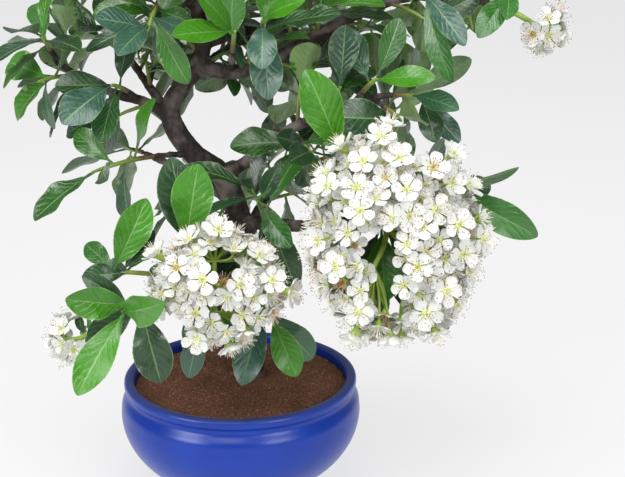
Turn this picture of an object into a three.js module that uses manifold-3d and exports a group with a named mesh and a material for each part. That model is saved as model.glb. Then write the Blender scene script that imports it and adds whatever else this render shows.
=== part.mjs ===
// A small flowering firethorn bonsai in a round glazed pot, in millimetres, +Z up.
// The origin is the middle of the pot's flat foot, on the surface that the pot stands on.
// The front, where the two large flower heads hang out over the rim, looks towards -Y.
import * as THREE from "three";
import { mergeVertices } from "three/addons/utils/BufferGeometryUtils.js";
import Module from "manifold-3d";

const wasm = await Module();
wasm.setup();

// Driving dimensions
const POT = {
  height: 41,
  footRadius: 20.5,
  footHeight: 3,
  footEase: 0.6,
  bellyRadius: 41.6,
  bellyHeight: 28.6,
  bellySteps: [7.5, 12.5, 19],
  shoulderDrop: 0.5,
  shoulderShare: 0.55,
  neckRadius: 39.3,
  neckHeight: 35.9,
  rimRadius: 40.3,
  mouthRadius: 36.7,
  lipHeight: 2.6,
  lipEase: 0.5,
  wall: 3.3,
  floor: 4.5,
  sides: 28,
};
// The bends of the inner wall, as shares of its reach and of the way down from the belly
const INNER_BENDS = [[0.99, 0], [0.9, 0.5], [0.72, 0.8]];
const FLOOR_SHARE = 0.52;
const DRAIN = { count: 3, radius: 3, sides: 12, ring: 13, turn: 0.25, channelWidth: 2.4, channelDepth: 1.2 };
const SOIL = { top: 38.7, edgeDrop: 1.2, lump: 0.35, waveX: 0.9, waveY: 0.7, sides: 20 };
const SOIL_RINGS = [0, 0.34, 0.67, 1];
const SCREEN = { radius: 17.5, sides: 16, thickness: 0.8, holeWidth: 2.2, holeRing: 13 };
const GAP = 0.3;
const FLARE = { below: 4, height: 18, spread: 0.12, ribs: 5, ribDepth: 0.08 };
const BARK = { depth: 0.05, ridges: 3, twist: 7 };
const SPUR = { woody: 0.4, rootRadius: 1.15, tipRadius: 0.9, lift: 0.1 };
const STEM = { rootRadius: 0.85, tipRadius: 0.65 };
const STALK = { rootRadius: 1, forkRadius: 0.9, neckRadius: 0.7, hubRadius: 2, hubLength: 1.9 };
const LEAF = {
  petiole: 0.12,
  widest: 1.35,
  blunt: 0.62,
  petioleHalfWidth: 0.45,
  baseShrink: 0.5,
  topRise: 0.3,
  underDrop: 0.7,
  stations: [0.3, 0.62, 0.9],
  firstShare: 0.97,
  lastShare: 0.6,
  huddle: 6,
  length: 23,
  width: 9.6,
};
// A set leaf looks this way. Both kinds of leaf draw their shape between two limits.
const SET_LEAF = { look: [0, -0.85, 0.5], arch: [0.06, 0.16], fold: [0.15, 0.35] };
const RULED_LEAF = {
  open: [38, 90],
  openDraw: 14,
  length: [0.75, 1.15],
  width: [0.8, 1.2],
  upLook: 0.9,
  outLook: -0.2,
  arch: [0.04, 0.16],
  fold: [0.12, 0.37],
};
const FLOWER = {
  petals: 5,
  radius: 4.6,
  petalTurn: 0.37,
  notch: 2.4,
  notchLift: 0.1,
  cup: 1,
  base: 1.8,
  dip: 0.4,
  room: 7.3,
  rings: [0.33, 0.66, 1],
  step: 1.3,
};
// The dome bulges by rise over a hub and sinks by up to fall away from it, in shares of its lump.
const DOME = { hubDepth: 0.5, rise: 0.5, fall: 1.5, lobe: 0.6, wobble: 0.05, lean: [0.5, 0.8] };
const PEDICEL = { hubRadius: 0.25, radius: 0.5, start: 1.05 };
const SHOOT_END = 0.7;
const THORN = { length: 8, radius: 0.6, sink: 2.5 };
const CLEAR = { cell: 2, step: 1.25, around: 8, overPot: 3 };
const GOLDEN_ANGLE = Math.PI * (3 - Math.sqrt(5));

// Every place below is [x, y, z]. A limb runs from inside the wood that bears it to its tip.
const TRUNK = {
  path: [
    [3.5, 4, 24], [3.5, 3, 38.5], [3.5, 1, 52], [4, -1, 68], [3, 0, 84], [0, 0, 98], [-5, 0, 112],
    [-14, 0, 119], [-20, 1, 127], [-22, 2, 134], [-18, 2, 141], [-12, 1, 149], [-10, 1, 157],
    [-12, 2, 168], [-10, 3, 180], [-6, 3, 192], [-3, 2, 201],
  ],
  radii: [4.6, 4.4, 4.4, 4.4, 4.2, 4, 3.8, 3.6, 3.4, 3.2, 3, 2.8, 2.5, 2.2, 1.9, 1.6, 1.2],
  sides: 8,
};
const LIMBS = [
  { root: 2.3, tip: 1.2, path: [[-5, 0, 112], [4, -5, 118], [12, -9, 126], [22, -12, 132], [34, -12, 136],
    [46, -10, 140]] },
  { root: 2.4, tip: 1.3, path: [[1, 0, 96], [12, -14, 99], [24, -30, 103], [34, -42, 106], [41, -51, 109]] },
  { root: 2.3, tip: 1.3, path: [[4, 0, 76], [0, -14, 81], [-6, -30, 86], [-12, -44, 88], [-17, -53, 89]] },
  { root: 2, tip: 1, path: [[-21, 2, 131], [-30, 2, 136], [-40, -2, 140], [-50, -6, 146], [-57, -6, 151]] },
  { root: 2.5, tip: 1.1, path: [[-12, 1, 148], [0, -4, 147], [12, -6, 151], [26, -6, 159], [40, -6, 166],
    [56, -5, 171], [72, -2, 170], [84, 0, 168]] },
  { root: 1.9, tip: 1, path: [[-12, 2, 168], [-22, -2, 172], [-34, -4, 176], [-45, -2, 179]] },
  { root: 2.1, tip: 1.1, path: [[-18, 2, 141], [-14, 16, 144], [-8, 30, 147], [-4, 40, 149]] },
  { root: 1.9, tip: 1, path: [[-21, 2, 130], [-30, 12, 140], [-38, 20, 149]] },
  { root: 2.2, tip: 1.1, path: [[3, 0, 88], [6, 14, 95], [12, 26, 101], [22, 34, 105]] },
  { root: 2, tip: 1.1, path: [[-1, 0, 102], [-12, 12, 106], [-22, 22, 109], [-31, 28, 111]] },
  { root: 2.2, tip: 1.1, path: [[-10, 1, 156], [4, 12, 158], [18, 24, 156], [30, 31, 150], [39, 34, 146]] },
];
const LIMB_SIDES = 5;

// A spray is one leafy shoot. It leaves the wood at from and ends at to. It bears the set leaves,
// each [x, y, z of its tip, width, turn about its own length in degrees], then more by rule.
const SPRAYS = [
  { name: "spray_front_left_low", from: [-16, -51, 89], to: [-31, -61, 86], ruled: 0,
    set: [[-15, -86, 98, 9.5, 40], [-42, -78, 67, 10.4, 0], [-41, -66, 99, 6, 0], [-45, -72, 94, 9.8, -30],
      [-20, -62, 64, 11.6, 0], [-41, -62, 76, 9, 0]] },
  { name: "spray_front_left_mid", from: [-11, -42, 88], to: [-36, -47, 93.5], ruled: 3,
    set: [[-24, -48, 117, 10.5, 20], [-45, -36, 99, 6.5, 0], [-22, -48, 107, 6.5, 0], [-26, -28, 95, 6, 0],
      [-44, -50, 93, 7, 0]] },
  { name: "spray_front_left_high", from: [-7, -32, 86.5], to: [-14, -40, 99], ruled: 0,
    set: [[-9, -42, 126, 13, 0], [-18, -33, 126, 13, -10]] },
  { name: "spray_front_left_hanging", from: [-5, -28, 85], to: [-9, -39, 77], ruled: 2,
    set: [[-14, -40, 56, 7.5, 0]] },
  { name: "spray_front_middle_hanging", from: [1, -12, 80], to: [12, -35, 75], ruled: 2,
    set: [[20, -41, 57, 9.4, 0], [25, -29, 58, 9.7, 0], [3, -46, 56, 10, 0]] },
  { name: "spray_front_right_top", from: [31, -38, 105], to: [34, -41, 128], ruled: 1,
    set: [[23, -46, 155, 12.5, 0]] },
  { name: "spray_front_right_out", from: [33, -41, 106], to: [66, -40, 119], ruled: 1,
    set: [[89, -56, 106, 9.8, 20], [80, -32, 116, 8, 20], [86, -46, 126, 7, 80]] },
  { name: "spray_front_right_low", from: [31, -38, 105], to: [45, -42, 98], ruled: 1,
    set: [[40, -56, 77, 13, 0], [66, -54, 78, 7, 0], [58, -48, 79, 6, 0]] },
  { name: "spray_middle", from: [15, -18, 100], to: [8, -34, 112], ruled: 2,
    set: [[19, -45, 101, 8, 30], [11, -54, 119, 7.5, 0], [15, -36, 124, 6, 0], [20, -35, 84, 9.5, 0],
      [12, -33, 80, 9, 0]] },
  { name: "spray_middle_back", from: [15, -10, 128], to: [25, -24, 125], ruled: 2,
    set: [[10, -40, 124, 8.5, 0], [14, -32, 132, 7.5, 0]] },
  { name: "spray_right_mid", from: [45, -10, 140], to: [60, -10, 140], ruled: 2,
    set: [[64, -18, 127, 8, 0], [72, -14, 126, 7.5, 0], [70, -26, 139, 7.5, 0]] },
  { name: "spray_right_upright", from: [38, -12, 138], to: [45, -21, 148], ruled: 1,
    set: [[52, -16, 166, 8, 25], [62, -32, 150, 7, 0], [34, -12, 162, 9.4, 0]] },
  { name: "spray_right_inner", from: [44, -10.5, 139.5], to: [53, -19, 134], ruled: 2,
    set: [[32, -28, 143, 12, 0]] },
  { name: "spray_upper_right", from: [50, -6, 169.5], to: [60, -12, 174], ruled: 3,
    set: [[68, -22, 147, 8, 40], [71, -28, 159, 8, 0]] },
  { name: "spray_far_right", from: [78, -1, 169], to: [88, -8, 174], ruled: 3,
    set: [[76, -18, 160, 8, 0], [84, -22, 166, 6.5, 0]] },
  { name: "spray_top_middle", from: [10, -6, 150.5], to: [10, -28, 167], ruled: 2,
    set: [[23, -40, 174, 7, 0], [7, -40, 154, 9, 0], [12, -36, 144, 10, 0]] },
  { name: "spray_top_left_middle", from: [-1, -4, 147], to: [2, -32, 164], ruled: 1,
    set: [[-15, -48, 165, 7.8, 0], [-8, -46, 177, 7.2, 0]] },
  { name: "spray_top_left", from: [-22, -2, 172], to: [-25, -23, 163], ruled: 2,
    set: [[-39, -34, 168, 9, 0], [-32, -40, 158, 8.4, 0], [-45, -18, 156, 5, 0], [-9, -36, 162, 5, 0]] },
  { name: "spray_left_outer", from: [-32, 1, 137], to: [-38, -16, 145], ruled: 3,
    set: [[-51, -32, 136, 12, 0], [-53, -24, 151, 9, 0]] },
  { name: "spray_left_twig", from: [-14, -1, 119], to: [-44, -25, 119], ruled: 5, set: [] },
  { name: "spray_left_end", from: [-56, -6, 150], to: [-60, -12, 160], ruled: 6, set: [] },
  { name: "spray_left_back", from: [-37, 19, 148], to: [-47, 27, 156], ruled: 5, set: [] },
  { name: "spray_left_top", from: [-44, -2, 179], to: [-53, 2, 184], ruled: 6, set: [] },
  { name: "spray_left_crown", from: [-30, -3, 175], to: [-30, -8, 194], ruled: 5, set: [] },
  { name: "spray_crown", from: [-4, 2, 199], to: [0, 0, 213], ruled: 7, set: [] },
  { name: "spray_crown_front", from: [-11, 3, 177], to: [-6, -24, 190], ruled: 6, set: [] },
  { name: "spray_crown_right", from: [-9, 3, 182], to: [22, -8, 195], ruled: 6, set: [] },
  { name: "spray_crown_back", from: [-7, 3, 190], to: [4, 24, 202], ruled: 6, set: [] },
  { name: "spray_crown_back_left", from: [-12, 2, 172], to: [-28, 30, 186], ruled: 5, set: [] },
  { name: "spray_right_crown", from: [38, -6, 165], to: [45, -4, 187], ruled: 6, set: [] },
  { name: "spray_right_back", from: [28, 30, 151], to: [50, 24, 168], ruled: 5, set: [] },
  { name: "spray_right_top_back", from: [62, -4, 171], to: [72, 14, 181], ruled: 5, set: [] },
  { name: "spray_back_right", from: [38, 34, 146], to: [48, 40, 141], ruled: 5, set: [] },
  { name: "spray_back", from: [-4, 39, 149], to: [-4, 52, 156], ruled: 6, set: [] },
  { name: "spray_back_low_right", from: [21, 33, 105], to: [34, 42, 109], ruled: 6, set: [] },
  { name: "spray_back_low_left", from: [-30, 27, 111], to: [-42, 34, 113], ruled: 5, set: [] },
];

// A flower head hangs from one stalk that leaves the wood at from, a share woody of it bark, and
// forks at fork. Its flowers cover a dome round middle, open degrees wide from its axis, of this
// radius across, tall times as much upwards, and this depth. They stand in lobes round hubs, each
// [across, up] as shares of the radius, and leave bare spots, each [across, up, its radius].
const HEADS = [
  { name: "flower_head_right", from: [41, -51, 109], woody: 0, fork: [45, -57, 111], middle: [48, -61, 109],
    axis: [0.06, -0.9, 0.42], radius: 25.5, tall: 1.22, depth: 19, open: 97, count: 100, lump: 0.24,
    bare: [[7, -4, 7.4], [5, -13.5, 6.2], [3, -23, 6.5], [-12, 33, 12], [0.5, 7.5, 4.4],
      [14.5, 5.5, 3.5], [23, 32, 8]],
    hubs: [[-0.4, 0.55], [-0.8, 0.1], [-0.45, -0.6], [0.35, 0.75], [0.74, 0.12], [0.5, -0.6]] },
  { name: "flower_head_left", from: [-12, -44, 88], woody: 0.4, fork: [-6, -55, 91],
    middle: [-2.6, -58, 92.4], axis: [-0.05, -0.88, 0.47], radius: 20, tall: 0.92, depth: 15, open: 94,
    count: 64, lump: 0.24,
    bare: [[-4, 5.5, 5.9], [-4, -10.5, 4.5], [23, 17.5, 11], [16.5, -18, 11.5], [-18.5, -15, 6],
      [-19.5, 16.5, 6], [1, 8.5, 4]],
    hubs: [[0.1, 0.8], [0.8, 0.05], [0, 0], [-0.82, 0.05], [0.1, -0.85]] },
  { name: "flower_head_far_right", from: [80, -0.7, 168.7], woody: 0.45, fork: [95, -1, 162.5],
    middle: [98.5, -2, 160.5], axis: [0.6, -0.5, -0.35], radius: 8, tall: 1, depth: 5, open: 85, count: 8,
    lump: 0, bare: [], hubs: [[0, 0]] },
  { name: "flower_head_left_edge", from: [-13, -46, 88.3], woody: 0.35, fork: [-44.5, -50, 74],
    middle: [-48.5, -50, 73.5], axis: [-0.8, -0.45, 0.1], radius: 7.5, tall: 1, depth: 5, open: 85, count: 6,
    lump: 0, bare: [], hubs: [[0, 0]] },
  { name: "flower_head_back_right", from: [18, 24, 156], woody: 0.4, fork: [24, 46, 156],
    middle: [25, 50, 157], axis: [0.1, 0.85, 0.5], radius: 13, tall: 1, depth: 9, open: 90, count: 15,
    lump: 0, bare: [], hubs: [[-0.5, 0], [0.5, 0]] },
  { name: "flower_head_back_left", from: [-30, 12, 140], woody: 0.4, fork: [-27, 36, 148],
    middle: [-27, 40, 149], axis: [-0.25, 0.8, 0.5], radius: 12, tall: 1, depth: 8, open: 90, count: 13,
    lump: 0, bare: [], hubs: [[-0.5, 0], [0.5, 0]] },
];

const THORNS = [
  { at: [3, 0, 84], towards: [16, 6, 90] }, { at: [0, 0, 98], towards: [-14, -5, 102] },
  { at: [12, -9, 126], towards: [14, 4, 138] }, { at: [26, -6, 159], towards: [30, 6, 150] },
  { at: [-10, 1, 157], towards: [-2, 8, 168] }, { at: [-40, -2, 140], towards: [-44, 9, 134] },
  { at: [24, -30, 103], towards: [26, -20, 94] }, { at: [12, 26, 101], towards: [2, 34, 104] },
];

const LOOKS = {
  pot: { color: 0x1f3fae, roughness: 0.14, metalness: 0 },
  soil: { color: 0x4d2f22, roughness: 0.98, metalness: 0 },
  screen: { color: 0x3a3d3c, roughness: 0.6, metalness: 0 },
  wood: { color: 0x4b3d34, roughness: 0.9, metalness: 0 },
  leaf: { color: 0x2f6b2a, roughness: 0.38, metalness: 0 },
  flower: { color: 0xf6f5ec, roughness: 0.7, metalness: 0 },
};

const UP = new THREE.Vector3(0, 0, 1);
const vec = (p) => new THREE.Vector3(p[0], p[1], p[2]);
const mix = (a, b, t) => a + (b - a) * t;
const radians = THREE.MathUtils.degToRad;

// Repeatable random numbers from 0 to 1, the same on every run for one seed
function seeded(seed) {
  let state = (seed * 7919 + 12345) >>> 0;
  const next = () => {
    state = (Math.imul(state, 1664525) + 1013904223) >>> 0;
    return state / 4294967296;
  };
  next();
  next();
  return next;
}

// Joins rings of points into one closed skin. A ring of one point closes it to a tip, and a ring
// may have a whole number of times the points of the ring before it. Each ring turns anticlockwise
// about the direction in which the rings follow each other.
function loft(rings) {
  const positions = [];
  const index = [];
  const starts = rings.map((ring) => {
    const start = positions.length / 3;
    ring.forEach((p) => positions.push(p.x, p.y, p.z));
    return start;
  });
  for (let r = 0; r + 1 < rings.length; r++) {
    const [countA, countB] = [rings[r].length, rings[r + 1].length];
    const count = Math.max(countA, countB);
    const pick = (ring, size, i) => starts[ring] + Math.floor(((i % count) * size) / count);
    for (let i = 0; i < count; i++) {
      const [a, nextA] = [pick(r, countA, i), pick(r, countA, i + 1)];
      const [b, nextB] = [pick(r + 1, countB, i), pick(r + 1, countB, i + 1)];
      if (a !== nextA) index.push(a, nextA, nextB);
      if (b !== nextB) index.push(a, nextB, b);
    }
  }
  const [first, last] = [starts[0], starts[rings.length - 1]];
  for (let i = 1; i + 1 < rings[0].length; i++) index.push(first, first + i + 1, first + i);
  for (let i = 1; i + 1 < rings[rings.length - 1].length; i++) index.push(last, last + i, last + i + 1);
  const geometry = new THREE.BufferGeometry();
  geometry.setAttribute("position", new THREE.Float32BufferAttribute(positions, 3));
  geometry.setIndex(index);
  return geometry;
}

// A geometry as a solid that can be joined and cut
function solid(geometry) {
  const bare = new THREE.BufferGeometry();
  bare.setAttribute("position", geometry.getAttribute("position"));
  bare.setIndex(geometry.getIndex());
  const merged = mergeVertices(bare, 1e-4);
  const mesh = new wasm.Mesh({
    numProp: 3,
    vertProperties: new Float32Array(merged.attributes.position.array),
    triVerts: new Uint32Array(merged.index.array),
  });
  return new wasm.Manifold(mesh);
}

const join = (solids) => solids.reduce((whole, piece) => whole.add(piece));

// A solid as a named mesh with its own material
function meshOf(name, made, look) {
  const data = made.getMesh();
  const geometry = new THREE.BufferGeometry();
  geometry.setAttribute("position", new THREE.BufferAttribute(data.vertProperties, 3));
  geometry.setIndex(new THREE.BufferAttribute(data.triVerts, 1));
  geometry.computeVertexNormals();
  const mesh = new THREE.Mesh(geometry, new THREE.MeshStandardMaterial(look));
  mesh.name = name;
  return mesh;
}

// Rings of a tube along a line of points. shape(angle, centre) scales its radius round a section.
function tubeRings(points, radii, sides, shape = () => 1) {
  let across = new THREE.Vector3(1, 0, 0);
  if (Math.abs(points[1].clone().sub(points[0]).normalize().x) > 0.9) across.set(0, 1, 0);
  return points.map((centre, i) => {
    const before = points[Math.max(0, i - 1)];
    const after = points[Math.min(points.length - 1, i + 1)];
    const along = after.clone().sub(before).normalize();
    across = across.clone().addScaledVector(along, -across.dot(along)).normalize();
    const other = along.clone().cross(across);
    return Array.from({ length: sides }, (_, k) => {
      const angle = (k / sides) * 2 * Math.PI;
      const reach = radii[i] * shape(angle, centre);
      return centre.clone()
        .addScaledVector(across, Math.cos(angle) * reach)
        .addScaledVector(other, Math.sin(angle) * reach);
    });
  });
}

const tube = (points, radii, sides, shape) => solid(loft(tubeRings(points, radii, sides, shape)));

// The point at a share t of an arched line from a to b, bent towards middle
function arched(a, middle, b, t) {
  return a.clone().multiplyScalar((1 - t) * (1 - t))
    .addScaledVector(middle, 2 * t * (1 - t))
    .addScaledVector(b, t * t);
}

// Keeps each piece clear of the others, on a coarse grid of cells with the piece that fills each
class ClearanceGrid {
  constructor(cell) {
    this.cell = cell;
    this.owners = new Map();
  }

  cellOf(p) {
    return [p.x, p.y, p.z].map((v) => Math.floor(v / this.cell));
  }

  mark(points, owner) {
    for (const p of points) {
      const key = this.cellOf(p).join();
      if (!this.owners.has(key)) this.owners.set(key, owner);
    }
  }

  // Whether nothing but what isOwn allows is in or next to the cells of these points
  isClear(points, isOwn) {
    return points.every((p) => {
      const [x, y, z] = this.cellOf(p);
      for (let i = x - 1; i <= x + 1; i++) {
        for (let j = y - 1; j <= y + 1; j++) {
          for (let k = z - 1; k <= z + 1; k++) {
            const found = this.owners.get(`${i},${j},${k}`);
            if (found !== undefined && !isOwn(found)) return false;
          }
        }
      }
      return true;
    });
  }
}

const grid = new ClearanceGrid(CLEAR.cell);

// Nothing of the plant but its trunk comes near the pot or its soil.
function isOverPot(p) {
  const near = Math.hypot(p.x, p.y) < POT.bellyRadius + CLEAR.overPot;
  return p.z > (near ? POT.height : 0) + CLEAR.overPot;
}

// Samples of a tube: its line where it is thin, and points round it too where it is thick
function tubeSamples({ points, radii }) {
  const samples = [points[points.length - 1]];
  for (let i = 0; i + 1 < points.length; i++) {
    const steps = Math.ceil(points[i].distanceTo(points[i + 1]) / CLEAR.step);
    for (let k = 0; k < steps; k++) {
      const centre = points[i].clone().lerp(points[i + 1], k / steps);
      const reach = mix(radii[i], radii[i + 1], k / steps);
      samples.push(centre);
      for (let a = 0; reach > CLEAR.step && a < CLEAR.around; a++) {
        const angle = (a / CLEAR.around) * 2 * Math.PI;
        samples.push(new THREE.Vector3(Math.cos(angle) * reach, Math.sin(angle) * reach, 0).add(centre));
      }
    }
  }
  return samples;
}

// Pot: one closed profile turned about the axis, with drain holes and a channel out from each
function outerProfile() {
  const { footRadius, footHeight, footEase, bellyRadius, bellyHeight } = POT;
  const { neckRadius, neckHeight, rimRadius, mouthRadius, height, lipHeight, lipEase } = POT;
  const lift = (bellyHeight - footHeight) / Math.sqrt(1 - (footRadius / bellyRadius) ** 2);
  const belly = [...POT.bellySteps, bellyHeight].map(
    (z) => [bellyRadius * Math.sqrt(1 - ((bellyHeight - z) / lift) ** 2), z]);
  return [
    [0, 0], [footRadius - footEase, 0], [footRadius, footEase], [footRadius, footHeight], ...belly,
    [bellyRadius - POT.shoulderDrop, mix(bellyHeight, neckHeight, POT.shoulderShare)],
    [neckRadius, neckHeight], [rimRadius, height - lipHeight], [rimRadius - lipEase, height - lipEase],
    [mix(rimRadius, mouthRadius, 0.5), height], [mouthRadius, height - 2 * lipEase],
  ].map(([r, z]) => new THREE.Vector2(r, z));
}

// The inner wall, from the neck down to the middle of the floor, gap inside it
function innerProfile(gap) {
  const reach = POT.bellyRadius - POT.wall;
  const bends = INNER_BENDS.map(([share, down]) => [reach * share, mix(POT.bellyHeight, POT.floor, down)]);
  const floor = POT.floor + gap;
  return [[POT.mouthRadius, POT.neckHeight], ...bends, [reach * FLOOR_SHARE, floor], [0, floor]]
    .map(([r, z]) => new THREE.Vector2(Math.max(0, r - gap), z));
}

const drainAngle = (i) => ((i + DRAIN.turn) / DRAIN.count) * 2 * Math.PI;

function makePot() {
  const profile = [...outerProfile(), ...innerProfile(0)];
  let pot = solid(new THREE.LatheGeometry(profile, POT.sides).rotateX(Math.PI / 2));
  for (let i = 0; i < DRAIN.count; i++) {
    const hole = new THREE.CylinderGeometry(DRAIN.radius, DRAIN.radius, 4 * POT.floor, DRAIN.sides);
    hole.rotateX(Math.PI / 2).translate(DRAIN.ring, 0, 0).rotateZ(drainAngle(i));
    const channel = new THREE.BoxGeometry(POT.footRadius, DRAIN.channelWidth, 2 * DRAIN.channelDepth);
    channel.translate(DRAIN.ring + POT.footRadius / 2, 0, 0).rotateZ(drainAngle(i));
    pot = pot.subtract(solid(hole)).subtract(solid(channel));
  }
  return pot;
}

// Screen: a thin mesh disc on the pot's floor that keeps the soil off the drain holes
function makeScreen() {
  const disc = new THREE.CylinderGeometry(SCREEN.radius, SCREEN.radius, SCREEN.thickness, SCREEN.sides);
  let screen = solid(disc.rotateX(Math.PI / 2).translate(0, 0, POT.floor + GAP + SCREEN.thickness / 2));
  for (let i = 0; i < DRAIN.count; i++) {
    const hole = new THREE.BoxGeometry(SCREEN.holeWidth, SCREEN.holeWidth, 4 * POT.floor);
    hole.translate(SCREEN.holeRing, 0, 0).rotateZ(drainAngle(i));
    screen = screen.subtract(solid(hole));
  }
  return screen;
}

// Soil: fills the pot to just under its lip, uneven on top, with a plain hole for the trunk's foot
function makeSoil(hole) {
  const edge = POT.mouthRadius - GAP;
  const top = SOIL_RINGS.map(
    (share) => new THREE.Vector2(edge * share, SOIL.top - SOIL.edgeDrop * share * share));
  const inner = innerProfile(GAP).slice(0, -1);
  inner[inner.length - 1].y += SCREEN.thickness + GAP;
  const profile = [...top, ...inner, new THREE.Vector2(0, inner[inner.length - 1].y)].reverse();
  const body = new THREE.LatheGeometry(profile, SOIL.sides).rotateX(Math.PI / 2);
  const position = body.getAttribute("position");
  for (let i = 0; i < position.count; i++) {
    const [x, y, z] = [position.getX(i), position.getY(i), position.getZ(i)];
    const isOnTop = z > SOIL.top - 0.9 * SOIL.edgeDrop && Math.hypot(x, y) > 1;
    if (isOnTop) position.setZ(i, z + SOIL.lump * Math.sin(SOIL.waveX * x + 1) * Math.cos(SOIL.waveY * y));
  }
  return solid(body).subtract(hole);
}

// Wood: the trunk and its limbs, with a short spur under each shoot and each head
function trunkLine() {
  const curve = new THREE.CatmullRomCurve3(TRUNK.path.map(vec), false, "centripetal");
  const points = curve.getPoints(2 * (TRUNK.path.length - 1));
  const radii = points.map((_, i) => mix(TRUNK.radii[Math.floor(i / 2)], TRUNK.radii[Math.ceil(i / 2)], 0.5));
  return { points, radii };
}

function limbLine({ path, root, tip }) {
  return { points: path.map(vec), radii: path.map((_, i) => mix(root, tip, i / (path.length - 1))) };
}

// The trunk's foot swells into root ribs near the soil, and its bark is a little uneven above.
function trunkShape(angle, centre) {
  const near = Math.max(0, 1 - Math.abs(centre.z - SOIL.top + FLARE.below) / FLARE.height);
  const ribs = FLARE.spread + FLARE.ribDepth * Math.cos(FLARE.ribs * angle);
  return 1 + near * near * ribs + BARK.depth * Math.sin(BARK.ridges * angle + centre.z / BARK.twist);
}

// The arched line from the wood to the tip of a shoot or to the fork of a head
class Shoot {
  constructor(from, to, woody) {
    this.from = vec(from);
    this.to = vec(to);
    this.length = this.from.distanceTo(this.to);
    this.middle = this.from.clone().lerp(this.to, 0.5).addScaledVector(UP, SPUR.lift * this.length);
    this.woody = woody;
    this.greenStart = woody + GAP / this.length;
  }

  at(share) {
    return arched(this.from, this.middle, this.to, share);
  }

  points(start, end, steps) {
    return Array.from({ length: steps + 1 }, (_, i) => this.at(mix(start, end, i / steps)));
  }

  spur() {
    return { points: this.points(0, this.woody, 1), radii: [SPUR.rootRadius, SPUR.tipRadius] };
  }

  green(rootRadius, tipRadius) {
    const points = this.points(this.greenStart, 1, 2);
    return { points, radii: [rootRadius, mix(rootRadius, tipRadius, 0.5), tipRadius] };
  }
}

const tubeOf = ({ points, radii }, sides, shape) => tube(points, radii, sides, shape);

// A thorn runs from inside the wood to its point.
function thornLine({ at, towards }) {
  const foot = vec(at);
  const tip = foot.clone().add(vec(towards).sub(foot).setLength(THORN.length + THORN.sink));
  return { points: [foot, tip], radii: [0, 0] };
}

function makeThorn(thorn) {
  const { points } = thornLine(thorn);
  return solid(loft([tubeRings(points, [THORN.radius, 0], 3)[0], [points[1]]]));
}

function makeWood(shoots) {
  const trunk = tubeOf(trunkLine(), TRUNK.sides, trunkShape);
  const limbs = LIMBS.map((limb) => tubeOf(limbLine(limb), LIMB_SIDES));
  const spurs = shoots.filter((shoot) => shoot.woody > 0).map((shoot) => tubeOf(shoot.spur(), 3));
  return join([trunk, ...limbs, ...spurs, ...THORNS.map(makeThorn)]);
}

// The hole in the soil follows the trunk's foot with a small gap.
function makeRootHole() {
  const { points, radii } = trunkLine();
  const reach = points.findIndex((p) => p.z > POT.height) + 1;
  const foot = points.slice(0, reach);
  foot[0] = foot[0].clone().addScaledVector(UP, -GAP);
  return tube(foot, radii.slice(0, reach).map((r) => r + GAP), TRUNK.sides, trunkShape);
}

// How wide a blade is at a share t of its length, from the petiole to the rounded tip
function bladeShare(t) {
  const u = Math.max(0, (t - LEAF.petiole) / (1 - LEAF.petiole));
  return Math.pow(Math.max(0, Math.sin(Math.PI * Math.pow(u, LEAF.widest))), LEAF.blunt);
}

// One leaf from base to tip, arched along its rib and folded up a little on both sides of it
class Leaf {
  constructor(base, tip, { width, face, arch, fold, large }) {
    this.base = base;
    this.tip = tip;
    this.halfWidth = width / 2;
    this.fold = fold;
    this.large = large;
    this.length = base.distanceTo(tip);
    const along = tip.clone().sub(base).normalize();
    this.normal = face.clone().addScaledVector(along, -face.dot(along)).normalize();
    this.side = along.clone().cross(this.normal);
    this.middle = base.clone().lerp(tip, 0.5).addScaledVector(this.normal, arch * this.length);
  }

  // The point at a share t of the length and v of the half width, from -1 to 1
  point(t, v) {
    const reach = Math.max(bladeShare(t) * this.halfWidth, LEAF.petioleHalfWidth * (1 - t));
    return arched(this.base, this.middle, this.tip, t)
      .addScaledVector(this.side, v * reach)
      .addScaledVector(this.normal, Math.abs(v) * reach * this.fold);
  }

  samples() {
    const found = [];
    const rows = Math.ceil(this.length / CLEAR.step);
    for (let i = 2; i <= rows; i++) {
      const columns = Math.ceil((bladeShare(i / rows) * this.halfWidth) / CLEAR.step);
      for (let k = -columns; k <= columns; k++) found.push(this.point(i / rows, columns ? k / columns : 0));
    }
    return found;
  }

  // A large leaf has a rib on top as well as below, a small one only below.
  solid() {
    const ring = (t) => {
      const size = t === 0 ? LEAF.baseShrink : 1;
      const top = this.point(t, 0).addScaledVector(this.normal, LEAF.topRise * size);
      const under = this.point(t, 0).addScaledVector(this.normal, -LEAF.underDrop * size);
      const edges = [this.point(t, size), under, this.point(t, -size)];
      return this.large ? [top, ...edges] : edges;
    };
    return solid(loft([ring(0), ...LEAF.stations.map(ring), [this.tip]]));
  }
}

// The turns that a leaf tries about its base until it is clear, in degrees round and upwards
const TURNS = [
  [0, 0], [12, 0], [-12, 0], [0, 14], [0, -14], [24, 8], [-24, 8], [24, -12], [-24, -12],
  [40, 0], [-40, 0], [0, 30], [0, -30], [60, 15], [-60, 15], [60, -20], [-60, -20], [90, 0], [-90, 0],
];

function turnedTip(base, tip, axis, [round, up]) {
  const reach = tip.clone().sub(base).applyAxisAngle(axis, radians(round));
  const hinge = reach.clone().cross(axis).normalize();
  return base.clone().add(reach.applyAxisAngle(hinge, radians(up)));
}

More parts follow.
